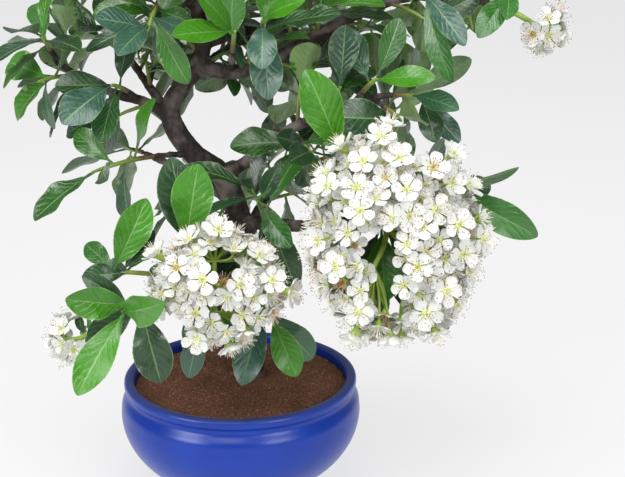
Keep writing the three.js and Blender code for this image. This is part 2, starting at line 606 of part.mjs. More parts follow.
// Puts a leaf where it is clear of every other piece, or leaves it out if no turn clears it.
// The leaves of one spray may huddle at their bases, and only its large ones may cross further out.
function placeLeaf(spray, number, base, tip, axis, form) {
  const isSpray = (found) => found.split("#")[0] === spray;
  const isStem = (found) => found === spray;
  for (const turn of TURNS) {
    const leaf = new Leaf(base, turnedTip(base, tip, axis, turn), form);
    const samples = leaf.samples();
    const near = samples.filter((p) => p.distanceTo(base) < LEAF.huddle);
    const far = samples.filter((p) => p.distanceTo(base) >= LEAF.huddle);
    const isClear = grid.isClear(near, isSpray) && grid.isClear(far, form.large ? isSpray : isStem);
    if (isClear && samples.every(isOverPot)) {
      grid.mark(near, spray);
      grid.mark(far, `${spray}#${number}`);
      return leaf;
    }
  }
  return null;
}

// One leafy shoot, with its own random numbers
class Spray {
  constructor(row, seed) {
    Object.assign(this, row);
    this.random = seeded(seed);
    this.shoot = new Shoot(row.from, row.to, SPUR.woody);
    this.leaves = [];
  }

  draw([low, high]) {
    return mix(low, high, this.random());
  }

  // Leaf number i leaves the shoot here. The first is nearest to the tip.
  leafBase(i) {
    const count = this.set.length + this.ruled;
    return this.shoot.at(mix(LEAF.firstShare, LEAF.lastShare, i / Math.max(1, count - 1)));
  }

  // The set leaves look towards the front and up, turned about their own length.
  placeSet() {
    this.set.forEach(([x, y, z, width, turn], i) => {
      const base = this.leafBase(i);
      const tip = vec([x, y, z]);
      const along = tip.clone().sub(base).normalize();
      const face = vec(SET_LEAF.look);
      face.addScaledVector(along, -face.dot(along)).applyAxisAngle(along, radians(turn));
      const arch = this.draw(SET_LEAF.arch);
      const fold = this.draw(SET_LEAF.fold);
      const form = { width, face, arch, fold, large: true };
      this.leaves.push(placeLeaf(this.name, i, base, tip, UP, form));
    });
  }

  // The ruled leaves go round the shoot by the golden angle and open wider towards its foot.
  placeRuled() {
    const axis = this.shoot.at(1).sub(this.shoot.at(SHOOT_END)).normalize();
    const across = new THREE.Vector3(-axis.y, axis.x, 0.01).normalize();
    const first = this.random() * 2 * Math.PI;
    for (let i = 0; i < this.ruled; i++) {
      const base = this.leafBase(this.set.length + i);
      const share = i / Math.max(1, this.ruled - 1);
      const open = radians(mix(...RULED_LEAF.open, share) + RULED_LEAF.openDraw * this.random());
      const out = across.clone().applyAxisAngle(axis, first + GOLDEN_ANGLE * i);
      const reach = axis.clone().multiplyScalar(Math.cos(open)).addScaledVector(out, Math.sin(open));
      const length = LEAF.length * this.draw(RULED_LEAF.length);
      const width = LEAF.width * this.draw(RULED_LEAF.width) * (length / LEAF.length);
      const tip = base.clone().addScaledVector(reach, length);
      const face = axis.clone()
        .addScaledVector(UP, RULED_LEAF.upLook)
        .addScaledVector(out, RULED_LEAF.outLook);
      const arch = this.draw(RULED_LEAF.arch);
      const fold = this.draw(RULED_LEAF.fold);
      const form = { width, face, arch, fold, large: false };
      this.leaves.push(placeLeaf(this.name, this.set.length + i, base, tip, axis, form));
    }
  }

  stem() {
    return this.shoot.green(STEM.rootRadius, STEM.tipRadius);
  }

  solid() {
    const leaves = this.leaves.filter((leaf) => leaf !== null);
    return join([tubeOf(this.stem(), 3), ...leaves.map((leaf) => leaf.solid())]);
  }
}

// Flower: five rounded petals as one cupped rosette on its stalk
class Flower {
  constructor(centre, facing, spin) {
    this.centre = centre;
    this.facing = facing;
    this.across = UP.clone().cross(facing).normalize().applyAxisAngle(facing, spin);
    this.other = facing.clone().cross(this.across);
  }

  at(radius, angle, height) {
    return this.centre.clone()
      .addScaledVector(this.across, Math.cos(angle) * radius)
      .addScaledVector(this.other, Math.sin(angle) * radius)
      .addScaledVector(this.facing, height);
  }

  samples() {
    const found = [this.centre];
    for (const share of FLOWER.rings) {
      const steps = Math.ceil((2 * Math.PI * FLOWER.radius * share) / CLEAR.step);
      for (let k = 0; k < steps; k++) {
        found.push(this.at(FLOWER.radius * share, (k / steps) * 2 * Math.PI, FLOWER.cup * share));
      }
    }
    return found;
  }

  // The stalk from the hub widens into the five petals, without a joint.
  solid(hub) {
    const petals = [];
    for (let petal = 0; petal < FLOWER.petals; petal++) {
      const angle = (petal / FLOWER.petals) * 2 * Math.PI;
      petals.push(this.at(FLOWER.radius, angle - FLOWER.petalTurn, FLOWER.cup));
      petals.push(this.at(FLOWER.radius, angle + FLOWER.petalTurn, FLOWER.cup));
      petals.push(this.at(FLOWER.notch, angle + Math.PI / FLOWER.petals, FLOWER.notchLift));
    }
    const turns = [0, 1, 2].map((i) => (i / 3) * 2 * Math.PI - FLOWER.petalTurn);
    const upper = turns.map((turn) => this.at(PEDICEL.radius, turn, -FLOWER.base));
    const start = hub.clone().lerp(this.centre, PEDICEL.start / hub.distanceTo(this.centre)).sub(this.centre);
    const lower = turns.map((turn) => this.at(PEDICEL.hubRadius, turn, 0).add(start));
    return solid(loft([lower, upper, petals, [this.at(0, 0, -FLOWER.dip)]]));
  }
}

// One flower head: a stalk, a branch to the hub of each lobe, and flowers on stalks of their own
class Head {
  constructor(row, seed) {
    Object.assign(this, row);
    this.random = seeded(seed);
    this.shoot = new Shoot(row.from, row.fork, row.woody);
    this.axis = vec(row.axis).normalize();
    this.across = this.axis.clone().cross(UP).normalize();
    this.up = this.across.clone().cross(this.axis);
    this.size = new THREE.Vector3(row.radius, row.radius * row.tall, row.depth);
    this.lobes = row.hubs.map(([x, y]) => {
      const way = new THREE.Vector3(x, y, Math.sqrt(1 - x * x - y * y));
      return { way, hub: this.onDome(way, DOME.hubDepth), flowers: [] };
    });
    this.placeFlowers();
  }

  // A vector given as [across, up, along the axis] of the head
  turned(v) {
    return this.across.clone().multiplyScalar(v.x)
      .addScaledVector(this.up, v.y)
      .addScaledVector(this.axis, v.z);
  }

  // The point that lies at a scale of the dome in a direction [across, up, along the axis]
  onDome(way, scale) {
    return this.turned(way.clone().multiply(this.size).multiplyScalar(scale)).add(vec(this.middle));
  }

  // The direction of flower number i on a golden spiral over the dome
  spiral(i) {
    const edge = 1 - Math.cos(radians(this.open));
    const z = 1 - (edge * (i + 0.5)) / this.count;
    const reach = Math.sqrt(1 - z * z);
    return new THREE.Vector3(reach * Math.cos(GOLDEN_ANGLE * i), reach * Math.sin(GOLDEN_ANGLE * i), z);
  }

  isBare(way) {
    const place = way.clone().multiply(this.size);
    return this.bare.some(([x, y, radius]) => Math.hypot(place.x - x, place.y - y) < radius);
  }

  // Each flower belongs to the nearest hub and leans away from it.
  placeFlowers() {
    const taken = [];
    for (let i = 0; i < this.count; i++) {
      const way = this.spiral(i);
      const lobe = this.lobes.reduce(
        (best, other) => (other.way.dot(way) > best.way.dot(way) ? other : best));
      const apart = Math.acos(Math.min(1, lobe.way.dot(way))) / DOME.lobe;
      const bulge = this.lump * (DOME.rise - Math.min(DOME.fall, apart ** 2));
      const layer = FLOWER.step * ((i % 3) - 1);
      const scale = (1 + bulge + DOME.wobble * (this.random() - 0.5)) * (1 + layer / this.radius);
      const centre = this.onDome(way, scale);
      const lean = way.clone().sub(lobe.way).multiplyScalar(mix(...DOME.lean, this.random()));
      const facing = this.turned(way.clone().divide(this.size).normalize().add(lean)).normalize();
      const spin = this.random() * 2 * Math.PI;
      if (this.isBare(way) || taken.some((other) => other.distanceTo(centre) < FLOWER.room)) continue;
      taken.push(centre);
      lobe.flowers.push(new Flower(centre, facing, spin));
    }
  }

  stalk() {
    return this.shoot.green(STALK.rootRadius, STALK.forkRadius);
  }

  branches() {
    const radii = [STALK.forkRadius, STALK.neckRadius];
    return this.lobes.map(({ hub }) => ({ points: [this.shoot.to, hub], radii }));
  }

  // A branch from the fork swells round its hub, where the flowers' stalks meet, and ends in a tip.
  branch(hub) {
    const along = hub.clone().sub(this.shoot.to).setLength(STALK.hubLength);
    const points = [this.shoot.to, hub.clone().sub(along), hub, hub.clone().add(along)];
    const rings = tubeRings(points, [STALK.forkRadius, STALK.neckRadius, STALK.hubRadius, 0], 4);
    return solid(loft([...rings.slice(0, 3), [points[3]]]));
  }

  samples() {
    const lines = [this.stalk(), ...this.branches()];
    this.lobes.forEach(({ hub, flowers }) => {
      flowers.forEach((flower) => lines.push({ points: [hub, flower.centre], radii: [0, 0] }));
    });
    const green = lines.flatMap(tubeSamples);
    return [...green, ...this.lobes.flatMap(({ flowers }) => flowers.flatMap((flower) => flower.samples()))];
  }

  solid() {
    const branches = this.lobes.map(({ hub }) => this.branch(hub));
    const flowers = this.lobes.flatMap(({ hub, flowers }) => flowers.map((flower) => flower.solid(hub)));
    return join([tubeOf(this.stalk(), 4), ...branches, ...flowers]);
  }
}

const sprays = SPRAYS.map((row, i) => new Spray(row, i + 1));
const heads = HEADS.map((row, i) => new Head(row, 101 + i));

// Fixed pieces claim their room first, then the set leaves, then the ruled ones.
const shoots = [...sprays, ...heads].map(({ shoot }) => shoot);
const spurLines = shoots.map((shoot) => shoot.spur());
[trunkLine(), ...LIMBS.map(limbLine), ...spurLines, ...THORNS.map(thornLine)]
  .forEach((line) => grid.mark(tubeSamples(line), "wood"));
heads.forEach((head) => grid.mark(head.samples(), head.name));
sprays.forEach((spray) => grid.mark(tubeSamples(spray.stem()), spray.name));
sprays.forEach((spray) => spray.placeSet());
sprays.forEach((spray) => spray.placeRuled());

const bonsai = new THREE.Group();
bonsai.add(meshOf("pot", makePot(), LOOKS.pot));
bonsai.add(meshOf("drainage_screen", makeScreen(), LOOKS.screen));
bonsai.add(meshOf("soil", makeSoil(makeRootHole()), LOOKS.soil));
bonsai.add(meshOf("trunk_and_limbs", makeWood(shoots), LOOKS.wood));
sprays.forEach((spray) => bonsai.add(meshOf(spray.name, spray.solid(), LOOKS.leaf)));
heads.forEach((head) => bonsai.add(meshOf(head.name, head.solid(), LOOKS.flower)));

export default bonsai;
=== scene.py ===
"""Looks of a small flowering firethorn bonsai in a round pot with a cobalt glaze.

Limbs, shoots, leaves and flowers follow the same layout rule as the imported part, in millimetres and
with the same seeded draws, and are drawn finer here. Meshes are turned to metres as they are made.
"""

import logging
from collections.abc import Callable, Iterable, Sequence
from dataclasses import dataclass, field, replace
from enum import Enum
from functools import partial
from math import acos, ceil, cos, hypot, pi, radians, sin, sqrt

import bpy
import numpy as np
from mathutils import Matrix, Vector, noise

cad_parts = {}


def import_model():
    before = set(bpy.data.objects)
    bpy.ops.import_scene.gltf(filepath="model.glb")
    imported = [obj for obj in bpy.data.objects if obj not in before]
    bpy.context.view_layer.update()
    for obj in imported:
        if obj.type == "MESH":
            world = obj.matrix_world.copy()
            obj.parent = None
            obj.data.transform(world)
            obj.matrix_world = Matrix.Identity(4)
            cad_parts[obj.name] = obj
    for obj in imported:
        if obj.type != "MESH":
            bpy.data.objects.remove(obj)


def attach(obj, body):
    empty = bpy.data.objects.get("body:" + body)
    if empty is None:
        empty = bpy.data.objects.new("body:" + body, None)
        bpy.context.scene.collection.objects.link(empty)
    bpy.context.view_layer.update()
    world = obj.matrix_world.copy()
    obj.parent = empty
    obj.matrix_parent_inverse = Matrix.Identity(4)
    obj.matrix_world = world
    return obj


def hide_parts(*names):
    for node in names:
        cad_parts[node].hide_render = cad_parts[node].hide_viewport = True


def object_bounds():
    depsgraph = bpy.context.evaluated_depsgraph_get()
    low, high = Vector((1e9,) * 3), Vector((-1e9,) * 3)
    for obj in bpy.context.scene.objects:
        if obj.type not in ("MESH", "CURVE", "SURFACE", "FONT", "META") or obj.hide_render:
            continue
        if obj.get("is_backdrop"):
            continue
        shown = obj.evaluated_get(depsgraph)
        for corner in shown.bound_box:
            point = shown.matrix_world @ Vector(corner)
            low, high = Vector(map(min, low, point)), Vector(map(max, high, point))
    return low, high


LOG = logging.getLogger("bonsai")
Vec = np.ndarray
Point = tuple[float, float, float]
Pair = tuple[float, float]
Face = tuple[int, ...]
Swell = Callable[[float, Vec], float]
Piece, Material = bpy.types.Object, bpy.types.Material
Tree, Node, Socket = bpy.types.NodeTree, bpy.types.Node, bpy.types.NodeSocket
Settings = dict[str, object]
NodeMaker = Callable[..., Node]

MM = 0.001
BODY = "root"
TURN = 2 * pi
GOLDEN_ANGLE = pi * (3 - sqrt(5))
UP = np.array((0.0, 0.0, 1.0))
# Lies between the seed of a piece's layout and that of its looks
LOOKS_SEED = 1000

# Blender's names of the nodes that recur
MATH, RANGE, NOISE, MIX, BUMP, PLACE, READ, SPLIT = (
    "ShaderNode" + kind
    for kind in ("Math", "MapRange", "TexNoise", "Mix", "Bump", "TexCoord", "Attribute", "SeparateXYZ"))
# Their settings that recur; TIMES_PLUS multiplies its first two inputs and adds the third.
NUMBER, VECTOR, COLOUR = ({"data_type": kind} for kind in ("FLOAT", "FLOAT_VECTOR", "RGBA"))
TIMES, TIMES_PLUS = ({"operation": kind} for kind in ("MULTIPLY", "MULTIPLY_ADD"))
NAMED = "GeometryNodeInputNamedAttribute"
NOTED = "GeometryNodeStoreNamedAttribute"
PLACED = "GeometryNodeInstanceOnPoints"
RANDOM = "FunctionNodeRandomValue"


class Slot(Enum):
    """The names of the pieces' material slots."""

    GLAZE = "glaze"
    SOIL = "soil"
    SCREEN = "screen"
    BARK = "bark"
    LEAF = "leaf"
    PETAL = "petal"


class Tone(Enum):
    """How a leaf looks, as its youth and its painted sheen, both from 0 to 1: the sheen is the grey of sky
    reflected in a glossy leaf, painted into its colour.
    """

    BRIGHT = (1.0, 0.0)
    LIGHT = (0.8, 0.3)
    MID = (0.55, 0.15)
    DARK = (0.12, 0.15)
    # GREY, OLIVE and PALE leaves carry much painted sheen of reflected sky.
    GREY = (0.3, 0.9)
    OLIVE = (0.55, 0.7)
    PALE = (1.0, 0.75)


BRIGHT, LIGHT, MID, DARK, GREY, OLIVE, PALE = Tone


# Small vector helpers


def vec(point: Sequence[float]) -> Vec:
    """Returns a place as a vector."""
    return np.array(point, float)


def mix(a: float, b: float, t: float) -> float:
    """Returns the value at a share t of the way from a to b."""
    return a + (b - a) * t


def cross(a: Vec, b: Vec) -> Vec:
    """Returns the cross product of two vectors."""
    return np.array((a[1] * b[2] - a[2] * b[1], a[2] * b[0] - a[0] * b[2], a[0] * b[1] - a[1] * b[0]))


def length_of(v: Vec) -> float:
    """Returns the length of a vector."""
    return sqrt(v[0] * v[0] + v[1] * v[1] + v[2] * v[2])


def unit(v: Vec) -> Vec:
    """Returns a vector's direction, one long."""
    return v / length_of(v)


def turned(v: Vec, axis: Vec, angle: float) -> Vec:
    """Turns a vector about an axis that is one long, by an angle in radians."""
    along = axis * float(axis @ v)
    return v * cos(angle) + cross(axis, v) * sin(angle) + along * (1 - cos(angle))


def arched(a: Vec, middle: Vec, b: Vec, t: float) -> Vec:
    """Returns the point at a share t of an arched line from a to b, bent towards middle."""
    return a * ((1 - t) * (1 - t)) + middle * (2 * t * (1 - t)) + b * (t * t)


def centripetal(points: Sequence[Vec], count: int) -> list[Vec]:
    """Runs a smooth centripetal curve through points.

    Args:
        points: The places that the curve passes through.
        count: How many steps the whole curve is cut into.

    Returns:
        count + 1 places along the curve.
    """
    last = len(points) - 1
    found = []
    for step in range(count + 1):
        place = last * (step / count)
        i = min(int(place), last - 1)
        weight = place - i
        p1, p2 = points[i], points[i + 1]
        p0 = points[i - 1] if i > 0 else 2 * p1 - p2
        p3 = points[i + 2] if i + 2 <= last else 2 * p2 - p1
        gaps = [sqrt(length_of(b - a)) for a, b in ((p0, p1), (p1, p2), (p2, p3))]
        d0, d1, d2 = gaps
        leave = ((p1 - p0) / d0 - (p2 - p0) / (d0 + d1) + (p2 - p1) / d1) * d1
        reach = ((p2 - p1) / d1 - (p3 - p1) / (d1 + d2) + (p3 - p2) / d2) * d1
        square = -3 * p1 + 3 * p2 - 2 * leave - reach
        cube = 2 * p1 - 2 * p2 + leave + reach
        found.append(p1 + leave * weight + square * weight**2 + cube * weight**3)
    return found


class Draws:
    """Repeatable random numbers from 0 to 1, the same on every run for one seed."""

    def __init__(self, seed: int) -> None:
        """Starts the row of draws."""
        self.state = (seed * 7919 + 12345) % 2**32
        self.next()
        self.next()

    def next(self) -> float:
        """Returns the next draw."""
        self.state = (self.state * 1664525 + 1013904223) % 2**32
        return self.state / 2**32

    def between(self, low: float, high: float) -> float:
        """Returns the next draw, from low to high."""
        return low + (high - low) * self.next()


# The tree's layout in millimetres. Every place is (x, y, z), and a limb runs from inside the wood
# that bears it to its tip.


@dataclass(frozen=True)
class Line:
    """A line of places with a radius at each."""

    points: list[Vec]
    radii: list[float]


@dataclass(frozen=True)
class LimbRow:
    """One limb: the radius at its root and tip, its path, and how many short shoots fill its depth."""

    root: float
    tip: float
    path: tuple[Point, ...]
    short_shoots: int = 0


@dataclass(frozen=True)
class SetLeaf:
    """A leaf that the photograph shows: its tip, its width, its turn about its length, its tone."""

    x: float
    y: float
    z: float
    width: float
    turn: float
    tone: Tone


@dataclass(frozen=True)
class SprayRow:
    """One leafy shoot: where it starts and ends, how many leaves follow the rule, its young share."""

    name: str
    start: Point
    end: Point
    ruled: int
    youth: float
    leaves: tuple[SetLeaf, ...] = ()


@dataclass(frozen=True)
class HeadRow:
    """One flower head on its forked stalk, with its flowers on a dome round middle."""

    name: str
    start: Point
    woody: float
    fork: Point
    middle: Point
    axis: Point
    radius: float
    depth: float
    open: float
    count: int
    hubs: tuple[Pair, ...]
    tall: float = 1.0
    lump: float = 0.0
    bare: tuple[Point, ...] = ()


TRUNK_PATH: tuple[Point, ...] = (
    (3.5, 4, 24), (3.5, 3, 38.5), (3.5, 1, 52), (4, -1, 68), (3, 0, 84), (0, 0, 98), (-5, 0, 112),
    (-14, 0, 119), (-20, 1, 127), (-22, 2, 134), (-18, 2, 141), (-12, 1, 149), (-10, 1, 157),
    (-12, 2, 168), (-10, 3, 180), (-6, 3, 192), (-3, 2, 201),
)
TRUNK_RADII = (4.6, 4.4, 4.4, 4.4, 4.2, 4, 3.8, 3.6, 3.4, 3.2, 3, 2.8, 2.5, 2.2, 1.9, 1.6, 1.2)
LIMBS = (
    LimbRow(2.3, 1.2, ((-5, 0, 112), (4, -5, 118), (12, -9, 126), (22, -12, 132), (34, -12, 136),
                       (46, -10, 140)), 5),
    LimbRow(2.4, 1.3, ((1, 0, 96), (12, -14, 99), (24, -30, 103), (34, -42, 106), (41, -51, 109)), 3),
    LimbRow(2.3, 1.3, ((4, 0, 76), (0, -14, 81), (-6, -30, 86), (-12, -44, 88), (-17, -53, 89)), 2),
    LimbRow(2, 1, ((-21, 2, 131), (-30, 2, 136), (-40, -2, 140), (-50, -6, 146), (-57, -6, 151)), 5),
    LimbRow(2.5, 1.1, ((-12, 1, 148), (0, -4, 147), (12, -6, 151), (26, -6, 159), (40, -6, 166),
                       (56, -5, 171), (72, -2, 170), (84, 0, 168)), 11),
    LimbRow(1.9, 1, ((-12, 2, 168), (-22, -2, 172), (-34, -4, 176), (-45, -2, 179)), 5),
    LimbRow(2.1, 1.1, ((-18, 2, 141), (-14, 16, 144), (-8, 30, 147), (-4, 40, 149)), 5),
    LimbRow(1.9, 1, ((-21, 2, 130), (-30, 12, 140), (-38, 20, 149)), 4),
    LimbRow(2.2, 1.1, ((3, 0, 88), (6, 14, 95), (12, 26, 101), (22, 34, 105)), 4),
    LimbRow(2, 1.1, ((-1, 0, 102), (-12, 12, 106), (-22, 22, 109), (-31, 28, 111)), 4),
    LimbRow(2.2, 1.1, ((-10, 1, 156), (4, 12, 158), (18, 24, 156), (30, 31, 150), (39, 34, 146)), 6),
)
# The trunk's part above the first limbs bears short shoots too.
CROWN_TRUNK = LimbRow(2.8, 1.2, TRUNK_PATH[10:], 8)
SPRAYS = tuple(
    SprayRow("spray_" + name, start, end, ruled, youth, tuple(SetLeaf(*leaf) for leaf in leaves))
    for name, start, end, ruled, youth, *leaves in (
        ("front_left_low", (-16, -51, 89), (-31, -61, 86), 0, 0.7, (-15, -86, 98, 9.5, 40, BRIGHT),
         (-42, -78, 67, 10.4, 0, BRIGHT), (-41, -66, 99, 6, 0, DARK), (-45, -72, 94, 9.8, -30, BRIGHT),
         (-20, -62, 64, 11.6, 0, DARK), (-41, -62, 76, 9, 0, DARK)),
        ("front_left_mid", (-11, -42, 88), (-36, -47, 93.5), 3, 0.3, (-24, -48, 117, 10.5, 20, BRIGHT),
         (-45, -36, 99, 6.5, 0, MID), (-22, -48, 107, 6.5, 0, DARK), (-26, -28, 95, 6, 0, MID),
         (-44, -50, 93, 7, 0, DARK)),
        ("front_left_high", (-7, -32, 86.5), (-14, -40, 99), 0, 0.5, (-9, -42, 126, 13, 0, BRIGHT),
         (-18, -33, 126, 13, -10, DARK)),
        ("front_left_hanging", (-5, -28, 85), (-9, -39, 77), 2, 0.2, (-14, -40, 56, 7.5, 0, GREY)),
        ("front_middle_hanging", (1, -12, 80), (12, -35, 75), 2, 0.6, (20, -41, 57, 9.4, 0, BRIGHT),
         (25, -29, 58, 9.7, 0, PALE), (3, -46, 56, 10, 0, GREY)),
        ("front_right_top", (31, -38, 105), (34, -41, 128), 1, 0.8, (23, -46, 155, 12.5, 0, BRIGHT)),
        ("front_right_out", (33, -41, 106), (66, -40, 119), 1, 0.5, (89, -56, 106, 9.8, 20, LIGHT),
         (80, -32, 116, 8, 20, DARK), (86, -46, 126, 7, 80, MID)),
        ("front_right_low", (31, -38, 105), (45, -42, 98), 1, 0.3, (40, -56, 77, 13, 0, DARK),
         (66, -54, 78, 7, 0, DARK), (58, -48, 79, 6, 0, DARK)),
        ("middle", (15, -18, 100), (8, -34, 112), 2, 0.6, (19, -45, 101, 8, 30, LIGHT),
         (11, -54, 119, 7.5, 0, MID), (15, -36, 124, 6, 0, DARK), (20, -35, 84, 9.5, 0, DARK),
         (12, -33, 80, 9, 0, DARK)),
        ("middle_back", (15, -10, 128), (25, -24, 125), 2, 0.2, (10, -40, 124, 8.5, 0, DARK),
         (14, -32, 132, 7.5, 0, DARK)),
        ("right_mid", (45, -10, 140), (60, -10, 140), 2, 0.3, (64, -18, 127, 8, 0, DARK),
         (72, -14, 126, 7.5, 0, GREY), (70, -26, 139, 7.5, 0, OLIVE)),
        ("right_upright", (38, -12, 138), (45, -21, 148), 1, 0.5, (52, -16, 166, 8, 25, MID),
         (62, -32, 150, 7, 0, BRIGHT), (34, -12, 162, 9.4, 0, OLIVE)),
        ("right_inner", (44, -10.5, 139.5), (53, -19, 134), 2, 0.1, (32, -28, 143, 12, 0, DARK)),
        ("upper_right", (50, -6, 169.5), (60, -12, 174), 3, 0.4, (68, -22, 147, 8, 40, LIGHT),
         (71, -28, 159, 8, 0, GREY)),
        ("far_right", (78, -1, 169), (88, -8, 174), 3, 0.6, (76, -18, 160, 8, 0, LIGHT),
         (84, -22, 166, 6.5, 0, LIGHT)),
        ("top_middle", (10, -6, 150.5), (10, -28, 167), 2, 0.5, (23, -40, 174, 7, 0, BRIGHT),
         (7, -40, 154, 9, 0, GREY), (12, -36, 144, 10, 0, GREY)),
        ("top_left_middle", (-1, -4, 147), (2, -32, 164), 1, 0.9, (-15, -48, 165, 7.8, 0, BRIGHT),
         (-8, -46, 177, 7.2, 0, BRIGHT)),
        ("top_left", (-22, -2, 172), (-25, -23, 163), 2, 0.4, (-39, -34, 168, 9, 0, GREY),
         (-32, -40, 158, 8.4, 0, GREY), (-45, -18, 156, 5, 0, DARK), (-9, -36, 162, 5, 0, GREY)),
        ("left_outer", (-32, 1, 137), (-38, -16, 145), 3, 0.2, (-51, -32, 136, 12, 0, GREY),
         (-53, -24, 151, 9, 0, DARK)),
        ("left_twig", (-14, -1, 119), (-44, -25, 119), 5, 0.2),
        ("left_end", (-56, -6, 150), (-60, -12, 160), 6, 0.4),
        ("left_back", (-37, 19, 148), (-47, 27, 156), 5, 0.3),
        ("left_top", (-44, -2, 179), (-53, 2, 184), 6, 0.5),
        ("left_crown", (-30, -3, 175), (-30, -8, 194), 5, 0.6),
        ("crown", (-4, 2, 199), (0, 0, 213), 7, 0.8),
        ("crown_front", (-11, 3, 177), (-6, -24, 190), 6, 0.6),
        ("crown_right", (-9, 3, 182), (22, -8, 195), 6, 0.6),
        ("crown_back", (-7, 3, 190), (4, 24, 202), 6, 0.4),
        ("crown_back_left", (-12, 2, 172), (-28, 30, 186), 5, 0.3),
        ("right_crown", (38, -6, 165), (45, -4, 187), 6, 0.6),
        ("right_back", (28, 30, 151), (50, 24, 168), 5, 0.3),
        ("right_top_back", (62, -4, 171), (72, 14, 181), 5, 0.5),
        ("back_right", (38, 34, 146), (48, 40, 141), 5, 0.3),
        ("back", (-4, 39, 149), (-4, 52, 156), 6, 0.4),
        ("back_low_right", (21, 33, 105), (34, 42, 109), 6, 0.3),
        ("back_low_left", (-30, 27, 111), (-42, 34, 113), 5, 0.3),
    ))
HEADS = (
    HeadRow("flower_head_right", (41, -51, 109), 0, (45, -57, 111), (48, -61, 109), (0.06, -0.9, 0.42),
            25.5, 19, 97, 100,
            ((-0.4, 0.55), (-0.8, 0.1), (-0.45, -0.6), (0.35, 0.75), (0.74, 0.12), (0.5, -0.6)),
            tall=1.22, lump=0.24,
            bare=((7, -4, 7.4), (5, -13.5, 6.2), (3, -23, 6.5), (-12, 33, 12), (0.5, 7.5, 4.4),
                  (14.5, 5.5, 3.5), (23, 32, 8))),
    HeadRow("flower_head_left", (-12, -44, 88), 0.4, (-6, -55, 91), (-2.6, -58, 92.4), (-0.05, -0.88, 0.47),
            20, 15, 94, 64,
            ((0.1, 0.8), (0.8, 0.05), (0, 0), (-0.82, 0.05), (0.1, -0.85)),
            tall=0.92, lump=0.24,
            bare=((-4, 5.5, 5.9), (-4, -10.5, 4.5), (23, 17.5, 11), (16.5, -18, 11.5), (-18.5, -15, 6),
                  (-19.5, 16.5, 6), (1, 8.5, 4))),
    HeadRow("flower_head_far_right", (80, -0.7, 168.7), 0.45, (95, -1, 162.5), (98.5, -2, 160.5),
            (0.6, -0.5, -0.35), 8, 5, 85, 8, ((0, 0),)),
    HeadRow("flower_head_left_edge", (-13, -46, 88.3), 0.35, (-44.5, -50, 74), (-48.5, -50, 73.5),
            (-0.8, -0.45, 0.1), 7.5, 5, 85, 6, ((0, 0),)),
    HeadRow("flower_head_back_right", (18, 24, 156), 0.4, (24, 46, 156), (25, 50, 157),
            (0.1, 0.85, 0.5), 13, 9, 90, 15, ((-0.5, 0), (0.5, 0))),
    HeadRow("flower_head_back_left", (-30, 12, 140), 0.4, (-27, 36, 148), (-27, 40, 149),
            (-0.25, 0.8, 0.5), 12, 8, 90, 13, ((-0.5, 0), (0.5, 0))),
)
# Each thorn stands at a place and points to another.
THORNS = (
    ((3, 0, 84), (16, 6, 90)), ((0, 0, 98), (-14, -5, 102)),
    ((12, -9, 126), (14, 4, 138)), ((26, -6, 159), (30, 6, 150)),
    ((-10, 1, 157), (-2, 8, 168)), ((-40, -2, 140), (-44, 9, 134)),
    ((24, -30, 103), (26, -20, 94)), ((12, 26, 101), (2, 34, 104)),
)


# Gaps through the crown as the front view shows them: ellipses on the plane y = 0, each by its
# middle's x and z, half its width and half its height
OPEN_GAPS = (
    (-37, 147, 8.4, 9.6), (-34, 118, 13, 16), (-5, 128, 13, 10.6),
    (-6, 156, 3.4, 4.4), (105, 125, 42, 46), (-62, 104, 12, 13),
)

# The turns that a leaf tries about its base until it is clear, in degrees round and upwards
TURNS = (
    (0, 0), (12, 0), (-12, 0), (0, 14), (0, -14), (24, 8), (-24, 8), (24, -12), (-24, -12),
    (40, 0), (-40, 0), (0, 30), (0, -30), (60, 15), (-60, 15), (60, -20), (-60, -20), (90, 0), (-90, 0),
)


@dataclass(frozen=True)
class PotSizes:
    """The pot's sizes in millimetres."""

    height: float = 41
    foot_radius: float = 20.5
    foot_height: float = 3
    belly_radius: float = 41.6
    belly_height: float = 28.6
    neck_radius: float = 39.3
    neck_height: float = 35.9
    rim_radius: float = 40.3
    mouth_radius: float = 36.7
    wall: float = 3.3
    floor: float = 4.5
    drains: int = 3
    drain_radius: float = 3
    drain_ring: float = 13
    channel_depth: float = 1.2
    soil_top: float = 38.7
    soil_edge_drop: float = 1.2
    soil_lump: float = 0.35
    gap: float = 0.3

    def drain_angle(self, number: int) -> float:
        """Returns the direction of one drain hole, in radians."""
        return (number + 0.25) / self.drains * TURN


POT = PotSizes()


def tube_samples(line: Line) -> list[Vec]:
    """Returns places on a tube's line, and round it too where it is thick.

    Args:
        line: The tube's line and its radii.

    Returns:
        The places.
    """
    found = [line.points[-1]]
    pairs = zip(line.points, line.points[1:], line.radii, line.radii[1:])
    for a, b, radius_a, radius_b in pairs:
        steps = ceil(length_of(b - a) / ClearanceGrid.STEP)
        for k in range(steps):
            centre = a + (b - a) * (k / steps)
            reach = mix(radius_a, radius_b, k / steps)
            found.append(centre)
            for turn in range(8 if reach > ClearanceGrid.STEP else 0):
                angle = turn * pi / 4
                found.append(vec((cos(angle) * reach, sin(angle) * reach, 0)) + centre)
    return found


